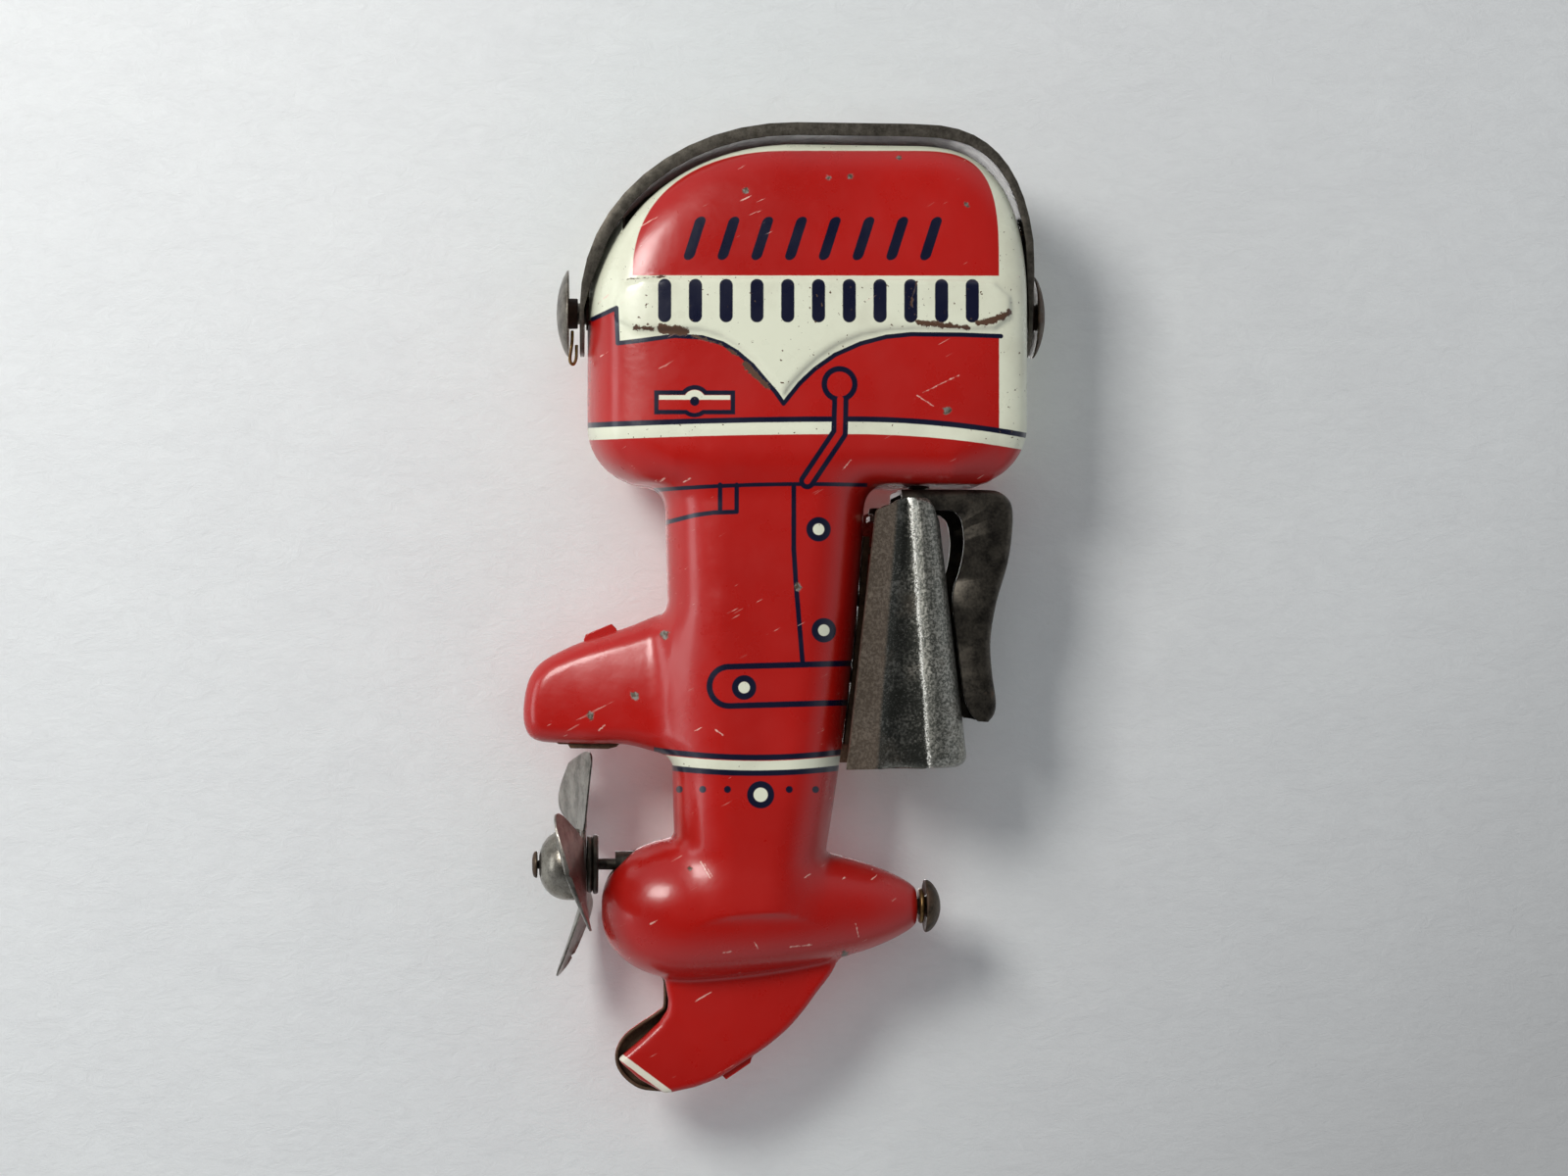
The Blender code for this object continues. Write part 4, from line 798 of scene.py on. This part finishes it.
def turned(name, profile, height, body, material, slot, replaces=(), rounds=2, sides=ROUND):
    """Profile of (x, radius) turned about a line along X at a height."""
    line = soften(profile, rounds)
    points, rows = [], []
    for s, r in line:
        if r <= 1e-6:
            points.append((s, 0, height))
            rows.append([len(points) - 1] * sides)
        else:
            first = len(points)
            turns = [2 * math.pi * k / sides for k in range(sides)]
            points += [(s, r * math.cos(t), height + r * math.sin(t)) for t in turns]
            rows.append(list(range(first, first + sides)))
    faces = []
    looped = profile[0][1] > 1e-6
    for i in range(len(rows) if looped else len(rows) - 1):
        here, there = rows[i], rows[(i + 1) % len(rows)]
        for k in range(sides):
            m = (k + 1) % sides
            ring = list(dict.fromkeys([here[k], here[m], there[m], there[k]]))
            if len(ring) > 2:
                faces.append(tuple(ring))
    return place(name, to_mesh(name, points, faces, 38), body, material, slot, replaces)


# ---- pieces that replace CAD nodes
def propeller():
    """Hub disc and three pressed blades: flat at the root, then twisted, cupped and rounded at the tip."""
    plan = spline([(3.2, 5.2, 0.5), (4.6, 7.6, 4), (6.2, 9.9, 8), (8.2, 12.3, 11.5),
        (10.2, 14.5, 14), (11.6, 15.5, 16), (12.7, 14.9, 17), (13.6, 12.5, 18), (14.3, 8.6, 18),
        (14.75, 4.4, 18), (14.88, 1.2, 18)], 4)
    across = np.linspace(-1, 1, 15)
    points, faces = [], []
    for turn_number in range(3):
        turn = Matrix.Rotation(math.radians(120 * turn_number), 3, "X")
        rings = []
        for radius, chord, pitch in plan:
            c, s = math.cos(math.radians(pitch)), math.sin(math.radians(pitch))
            x = HUB_X + (BLADE_X - HUB_X) * min(1.0, max(0.0, (radius - 4.6) / 9.5))
            ring = []
            for side in (-1, 1):
                for share in across[::-side]:
                    t = share * chord / 2
                    cup = 0.35 * (share * share - 0.4) * min(1.0, max(0.0, (radius - 5) / 6))
                    n = cup + side * 0.26 * (1 - 0.55 * abs(share) ** 6)
                    ring.append(turn @ Vector((x + t * s + n * c, -radius, -(t * c - n * s))))
            rings.append([p + Vector((0, 0, SHAFT_Z)) for p in ring])
        more, quads = loft(rings)
        faces += [tuple(i + len(points) for i in q) for q in quads]
        points += more
    mesh = to_mesh("propeller_blades", points, faces, 50)
    place("propeller_blades", mesh, "screw", "pewter", "pewter", ["propeller"])
    disc = [(-47.9, 0.85), (-47.9, 4.2), (-47.8, 4.42), (-47.3, 4.42), (-47.2, 4.2), (-47.2, 0.85)]
    turned("propeller_hub_disc", disc, SHAFT_Z, "screw", "pewter", "pewter", (), 1)


def round_pieces():
    rear = [(-51.2, 0), (-51.15, 1.4), (-50.9, 3), (-50.35, 4.7), (-49.85, 5.6), (-49.62, 5.72),
        (-49.55, 5.5), (-50, 4), (-50.25, 2.4), (-50.2, 1.4), (-46.3, 1.4), (-46.3, 2.6),
        (-45.6, 2.6), (-45.6, 0)]
    turned("rear_pivot_cap", rear, PIVOT_Z, "motor_unit", "cap", "dark_steel", ["rear_pivot_rivet"])
    front = [(13.7, 0), (13.65, 1.4), (13.4, 2.9), (12.9, 4.5), (12.4, 5.4), (12.15, 5.5), (12.05, 5.25),
             (12.45, 3.9), (12.7, 2.4), (12.6, 1.4), (9.9, 1.4), (9.9, 2.9), (9.3, 2.9), (9.3, 0)]
    turned("front_pivot_cap", front, PIVOT_Z, "motor_unit", "rivet", "dark_steel",
        ["front_pivot_rivet"])
    for name, low, high in (("rear_fibre_spacer", -49.9, -48.4), ("front_fibre_spacer", 11.65, 12.3)):
        ring = [(low, 1.5), (low, 1.9), (low + 0.1, 2.0), (high - 0.1, 2.0), (high, 1.9), (high, 1.5)]
        turned(name + "_ring", ring, PIVOT_Z, "motor_unit", "fibre", "fibre", [name], 1)
    nose = [(-0.3, 0), (-0.35, 0.9), (-0.7, 2), (-1.35, 3), (-2, 3.48), (-2.4, 3.5), (-2.45, 3.2),
        (-2.3, 2.4), (-2, 1), (-6.3, 1), (-6.3, 1.7), (-6.8, 1.7), (-6.8, 0)]
    turned("nose_rivet_head", nose, TORPEDO_Z, "motor_unit", "rivet", "dark_steel", ["nose_rivet"])
    washer = [(-3.2, 1.15), (-3.2, 2.1), (-3.05, 2.3), (-2.75, 2.3), (-2.6, 2.1), (-2.6, 1.15)]
    turned("nose_washer_ring", washer, TORPEDO_Z, "motor_unit", "brass", "fibre", ["nose_washer"], 1)
    dome = [(-53.35, 0.85), (-53.35, 1.3), (-53.15, 2.2), (-52.6, 3.2), (-51.8, 4), (-50.8, 4.5),
        (-49.8, 4.68), (-48.15, 4.7), (-48.05, 4.4), (-48.1, 3), (-49.4, 0.85)]
    turned("propeller_dome", dome, SHAFT_Z, "screw", "dome", "pewter", ["propeller_spinner"])
    nut = [(-54.3, 0), (-54.28, 0.8), (-54.15, 1.45), (-53.9, 1.75), (-53.65, 1.75), (-53.6, 1.5),
        (-53.6, 0.85), (-54, 0.85), (-54, 0)]
    turned("shaft_end_nut", nut, SHAFT_Z, "screw", "rivet", "dark_steel", ["shaft_end_cap"], 1)
    collar = [(-47.15, 0.85), (-47.15, 3.5), (-47, 3.75), (-46.55, 3.75), (-46.4, 3.5), (-46.4, 3.3),
        (-46.3, 3.9), (-45.75, 3.9), (-45.6, 3.6), (-45.6, 0.85)]
    turned("propeller_collar_ring", collar, SHAFT_Z, "screw", "dark", "strap_steel",
        ["propeller_collar"], 1)
    shaft = [(-53.9, 0), (-53.9, 0.75), (-16.6, 0.75), (-16.6, 0)]
    turned("propeller_shaft_rod", shaft, SHAFT_Z, "screw", "dark", "pewter", ["propeller_shaft"], 1, 40)


def bracket_front(z):
    return -1.4 - 0.122 * z


def bracket_path(z, tuck):
    """Plan of the bracket's sheet at one height: x, y and the height of its top edge there."""
    front, rear, ridge, bend = bracket_front(z) - tuck, -9.7 + 0.114 * z, -6.9 + 0.078 * z, 2.7 - 0.05 * z
    near = [(rear, 9.55, -0.7), (rear + 0.3, 9.5, -0.35), (ridge - 0.5, 8.66, 0.5),
        (ridge - 0.12, 8.5, 0.85), (ridge + 0.25, 8.4, 1.0), (ridge + 0.7, 8.25, 1.1)]
    start, stop = ridge + 0.7, front - bend - 0.1
    for k in range(1, 7):
        t = k / 6
        dish = min(0.3, 0.07 * (stop - start)) * 4 * t * (1 - t)
        near.append((start + (stop - start) * t, 8.25 + 0.74 * t * t - dish - 0.5 * tuck, 1.2))
    falls = {0: 1.2, 32: 1.15, 40: 0.95, 48: 0.5, 56: -0.4, 64: -0.9}
    for a in range(4, 91, 4):
        c, s = math.cos(math.radians(a)), math.sin(math.radians(a))
        top = [v for edge, v in falls.items() if edge <= a][-1]
        near.append((front - bend + bend * s, 9.0 - bend + bend * c - tuck, top))
    return near + [(x, -y, top) for x, y, top in near[::-1]]


def clamp_bracket():
    """Bent sheet: flared rear strip, crease, dished side, broad bend, cheeks beside the clip."""
    low, sheet, roll, steer_x = -34.0, 0.65, 1.8, -8.2
    ends = [0.0, 0.08, 0.25, 0.5, 0.85, 1.3, roll]
    levels = [("foot", d) for d in ends] + [("share", t) for t in np.linspace(0.12, 0.94, 14)]
    levels += [("top", d) for d in (0.9, 0.5, 0.22, 0.06, 0.0)]
    rings = []
    count = len(bracket_path(0, 0))
    for kind, value in levels:
        outer, inner = [], []
        for i in range(count):
            top = bracket_path(0, 0)[i][2]
            z = {"foot": low + value, "share": low + (top - low) * value, "top": top - value}[kind]
            d = value if kind == "foot" else roll
            tuck = roll - math.sqrt(max(0.0, roll ** 2 - (roll - d) ** 2))
            if kind == "top":
                tuck = 0.35 * (1 - value / 0.9) ** 2
            path = bracket_path(z, tuck)
            ahead = Vector(path[min(i + 1, count - 1)][:2]) - Vector(path[max(i - 1, 0)][:2])
            ahead.normalize()
            x, y = path[i][:2]
            outer.append((x, y, z))
            inner.append((x + ahead.y * sheet, y - ahead.x * sheet, z))
        rings.append(outer + inner[::-1])
    points, faces = loft(rings, caps=False)
    count = len(rings[0])
    for r in (0, len(rings) - 1):
        base = r * count
        for k in range(count // 2 - 1):
            faces.append((base + k, base + k + 1, base + count - 2 - k, base + count - 1 - k))
    for z0, z1 in ((-32.68, -32.02), (-1.6, -0.94)):
        front = bracket_front(z0) - 0.9
        near = [(steer_x - 1.7, 2.2), (steer_x + 3.4, 7.5), (front - 3.2, 7.5), (front - 1.1, 6.6),
            (front, 4.8)]
        plate = near + [(x, -y) for x, y in near[::-1]]
        more, quads = loft([[(x, y, z) for x, y in plate] for z in (z0, z1)])
        faces += [tuple(i + len(points) for i in q) for q in quads]
        points += more
    place("clamp_bracket_sheet", to_mesh("clamp_bracket_sheet", points, faces, 40), "transom_clamp",
        "zinc", "zinc", ["clamp_bracket"])


CLIP = [(-6.2, 2.4, -6.2, -0.2), (-2, 2.42, -2, -0.2), (2, 2.42, 0.3, -0.3), (4.6, 2.4, 1, -0.65),
    (6.4, 2.25, 1.5, -1.1), (7.75, 1.45, 1.8, -1.8), (8.5, 0, 1.95, -2.7), (8.5, -3, 2.1, -4.5),
    (7.9, -7.2, 1.75, -7.3), (6.4, -12.4, 0.55, -11.6), (5.6, -17.3, 1.1, -16.6),
    (5.8, -21.5, 1.65, -21.3), (6.3, -25.2, 2.15, -24.9), (6.05, -27, 3, -26.9),
    (5.2, -28, 3.9, -27.9)]


def spring_clip():
    """One bent strip with a deep flange down each side: x, z of its outer face and of its flange."""
    half, sheet, corner = 7.0, 0.65, 1.15
    rings = []
    stations = spline(CLIP, 5)
    for x, z, fx, fz in stations:
        down = Vector((fx - x, 0, fz - z))
        depth = down.length
        down.normalize()
        reach = min(corner, depth * 0.45)
        turn = [math.radians(a) for a in range(0, 91, 15)]
        outer = [(half, depth)]
        outer += [(half - reach * (1 - math.cos(a)), reach * (1 - math.sin(a))) for a in turn]
        inside = max(0.15, reach - sheet)
        back = [(half - sheet, depth)] + [(half - sheet - inside * (1 - math.cos(a)),
            sheet + inside * (1 - math.sin(a))) for a in turn]
        lip = [(half - sheet * 0.2, depth + 0.12), (half - sheet * 0.8, depth + 0.12)]
        side = outer + [(y * 0.5, 0.0) for y, _ in outer[-1:]]
        hidden = back + [(y * 0.5, sheet) for y, _ in back[-1:]]
        left, under_left, left_lip = [[(-y, d) for y, d in line] for line in (side[::-1], hidden, lip)]
        ring = side + left + left_lip + under_left + hidden[::-1] + lip[::-1]
        rings.append([(x + down.x * d, y, z + down.z * d) for y, d in ring])
    points, faces = loft(rings, caps=False)
    for base in (0, (len(rings) - 1) * len(rings[0])):
        faces.append(tuple(base + k for k in range(len(rings[0]))))
    mesh = to_mesh("spring_clip", points, faces, 48)
    item = place("spring_clip", mesh, None, "dark", "dark_steel")
    triangulate = item.modifiers.new("ends", "TRIANGULATE")
    triangulate.min_vertices = 5
    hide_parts("clamp_spring_arm", "clamp_spring_jaw")
    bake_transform(item)


def tabs():
    """Small folded tabs that hold the two halves together."""
    rows = [("fin_upper_tab", -0.9, -0.35, "leg_tin", 0.12, [
                (-47.6, -17.35), (-47.3, -16.55), (-43.9, -15.15), (-43.3, -15.75), (-43, -16.6),
                (-46.9, -18.3)]),
            ("fin_lower_tab", -1.3, -0.45, "inner_tin", 0.1, [
                (-51.4, -30.3), (-50.9, -30.95), (-49.6, -31), (-49.3, -31.5), (-44.4, -31.6),
                (-43.2, -31.3), (-42.6, -30.6), (-46, -30)]),
            ("skeg_tab", -1, -0.4, "leg_tin", 0.1, [
                (-29.6, -74.3), (-28.8, -75.15), (-25.6, -73), (-25.4, -72.3), (-24.4, -71.1),
                (-26.5, -71.8)])]
    for name, low, high, finish, bevel, outline in rows:
        points, faces = loft([[(x, y, z) for x, z in outline] for y in (low, high)])
        item = place(name, to_mesh(name, points, faces, 30), "motor_unit", finish, "painted_tin")
        edge = item.modifiers.new("edge", "BEVEL")
        edge.width, edge.segments, edge.limit_method = bevel * MM, 3, "ANGLE"


# ---- CAD nodes that stay
def keep(names, finish, bevel=0.0, angle=38):
    """Give CAD nodes a material, and round their edges with modifiers."""
    for name in names.split():
        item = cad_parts[name]
        item.data.materials.clear()
        item.data.materials.append(FINISH[finish])
        if item.data.has_custom_normals:
            with bpy.context.temp_override(object=item, active_object=item, selected_objects=[item]):
                bpy.ops.mesh.customdata_custom_splitnormals_clear()
        item.data.shade_smooth()
        weld = item.modifiers.new("weld", "WELD")
        weld.merge_threshold = 0.000002
        if bevel:
            edge = item.modifiers.new("edge", "BEVEL")
            edge.width, edge.segments, edge.limit_method = bevel * MM, 2, "ANGLE"
            edge.angle_limit = math.radians(angle)
        split = item.modifiers.new("split", "EDGE_SPLIT")
        split.split_angle = math.radians(angle)


def kept_nodes():
    keep("cover_strap", "strap", 0.12)
    keep("steering_pin clip_rivet_1 clip_rivet_2 lug_rivet_1 lug_rivet_2 armature_core", "dark", 0.08)
    # The steering lug wears the dark rusty inner tin: partly the rust of an inner part, partly painted shade
    # that darkens the gap between leg and bracket.
    keep("steering_lug", "inner_tin", 0.06)
    keep("battery_cradle gear_frame motor_can battery_cap contact_spring", "zinc", 0.06)
    keep("rear_fibre_bush front_fibre_bush motor_end_cap", "fibre")
    keep("stern_bush", "dark")
    keep("contact_wire upper_motor_bearing lower_motor_bearing rear_shaft_bearing front_shaft_bearing "
         "pinion_gear", "brass")
    keep("battery_cell", "cell", 0.1)
    keep("rear_magnet front_magnet", "magnet")
    keep("rear_brush front_brush", "carbon")
    keep("rear_lead_wire front_lead_wire", "wire")
    keep("armature_shaft", "pewter")
    keep("armature_coil_1 armature_coil_2 armature_coil_3 commutator", "copper", 0.1)
    keep("crown_gear", "nylon")


# ---- stage, lights, camera
def paper():
    g = Graph("paper")
    soft = g.noise(0.012, 4.0, 0.55)
    pulp = g.noise(0.16, 5.0, 0.62, stretch=(0.55, 1.0, 1.0), distortion=0.6)
    fibres = g.noise(0.55, 6.0, 0.75, stretch=(0.5, 1.0, 1.0), distortion=1.2)
    fleck = g.over(g.noise(0.20, 6.0, 0.7), 0.68, 0.73)
    shade = g.mix(soft, (0.805, 0.822, 0.815), (0.727, 0.742, 0.742))
    shade = g.mix(g.over(pulp, 0.36, 0.66) * 0.16, shade, (0.62, 0.625, 0.635))
    shade = g.mix(g.over(fibres, 0.42, 0.70) * 0.14, shade, (0.55, 0.55, 0.555))
    shade = g.mix(fleck * 0.10, shade, (0.60, 0.56, 0.50))
    across, _, up = g.split()
    # Painted shade: the paper is painted darker towards the lower right, as if the light fell off there.
    away = across - up
    shade = g.mix(g.over(away, 0.065, 0.165) * 0.45, shade, (0.36, 0.355, 0.35))
    # Painted light: near the toy the paper is tinted greener, to cancel the red light that bounces off the
    # toy on to it.
    near = ((across + 0.022) ** 2.0 + (up + 0.012) ** 2.0 * 0.2) ** 0.5
    shade = g.mix(0.7 - g.over(near, 0.018, 0.05) * 0.7, shade, (0.735, 0.785, 0.772))
    g.surface({"Base Color": shade, "Roughness": 0.9, "Specular IOR Level": 0.15})
    g.bump(fibres * 0.8 + pulp + soft + g.noise(0.05, 3.0, 0.5), 0.45, 0.4)
    output = g.tree.nodes["Material Output"]
    behind = g.node("NewGeometry").outputs["Backfacing"]
    shadow = g.node("LightPath").outputs["Is Shadow Ray"]
    clear = g.node("BsdfTransparent").outputs[0]
    either = g.math("MAXIMUM", behind, shadow)
    mixed = g.node("MixShader")
    g.put(mixed.inputs[0], either)
    g.tree.links.new(g.shader.outputs[0], mixed.inputs[1])
    g.tree.links.new(clear, mixed.inputs[2])
    g.tree.links.new(mixed.outputs[0], output.inputs["Surface"])
    reach, depth = PAPER_REACH, PAPER_Y
    mesh = bpy.data.meshes.new("paper_sheet")
    corners = [(-reach, depth, -reach), (reach, depth, -reach), (reach, depth, reach),
        (-reach, depth, reach)]
    mesh.from_pydata([(x * MM, y * MM, z * MM) for x, y, z in corners], [], [(0, 1, 2, 3)])
    mesh.materials.append(g.material)
    link("paper_sheet", mesh)


def area_light(name, where, target, size, watts, colour=(1, 1, 1), size_y=None):
    lamp = bpy.data.lights.new(name, "AREA")
    lamp.energy, lamp.size, lamp.color = watts, size * MM, colour
    if size_y:
        lamp.shape, lamp.size_y = "RECTANGLE", size_y * MM
    item = link(name, lamp)
    item.location = Vector(where) * MM
    item.rotation_euler = (Vector(target) - Vector(where)).to_track_quat("-Z", "Y").to_euler()
    return item


def lights_and_camera():
    middle = Vector((VIEW_MIDDLE[0], 0.0, VIEW_MIDDLE[1]))
    area_light("key", (-235, -310, 165), (-45, 0, 5), 130, 1.08, (1.0, 0.985, 0.96))
    area_light("window", (-420, -150, 10), (-25, 0, -10), 110, 0.3, (0.93, 0.97, 1.0), 300)
    fill = area_light("fill", (30, -600, 40), (-20, 0, -10), 500, 0.75, (0.95, 0.975, 1.0))
    fill.visible_glossy = False
    area_light("rear_fill", (-20, 900, 60), (-20, 0, -10), 260, 6.0)
    world = bpy.data.worlds.new("room")
    world.use_nodes = True
    tree = world.node_tree
    where, parts = tree.nodes.new("ShaderNodeTexCoord"), tree.nodes.new("ShaderNodeSeparateXYZ")
    level = tree.nodes.new("ShaderNodeMapRange")
    level.interpolation_type = "SMOOTHSTEP"
    for socket, value in zip(level.inputs[1:5], (-0.97, -0.3, 0.03, 0.5)):
        socket.default_value = value
    tree.links.new(where.outputs["Generated"], parts.inputs[0])
    tree.links.new(parts.outputs["Y"], level.inputs[0])
    tree.links.new(level.outputs[0], tree.nodes["Background"].inputs["Strength"])
    tree.nodes["Background"].inputs["Color"].default_value = (0.90, 0.935, 1.0, 1)
    bpy.context.scene.world = world
    bpy.context.scene.view_settings.view_transform = "Standard"

    lens = bpy.data.cameras.new("camera")
    lens.sensor_width = FILM_WIDTH
    lens.lens = FILM_WIDTH * VIEW_REACH / VIEW_WIDTH
    lens.clip_start, lens.clip_end = 0.005, 20.0
    azimuth, elevation = math.radians(VIEW_AZIMUTH), math.radians(VIEW_ELEVATION)
    back = Vector((math.sin(azimuth) * math.cos(elevation), -math.cos(azimuth) * math.cos(elevation),
        math.sin(elevation)))
    camera = link("camera", lens)
    camera.location = (middle + back * VIEW_REACH) * MM
    camera.rotation_euler = (-back).to_track_quat("-Z", "Y").to_euler()
    bpy.context.scene.camera = camera


shell_skin("starboard_shell_skin", -1, "starboard_shell")
shell_skin("port_shell_skin", 1, "port_shell")
propeller()
round_pieces()
clamp_bracket()
spring_clip()
tabs()
kept_nodes()
paper()
lights_and_camera()

bpy.context.view_layer.update()
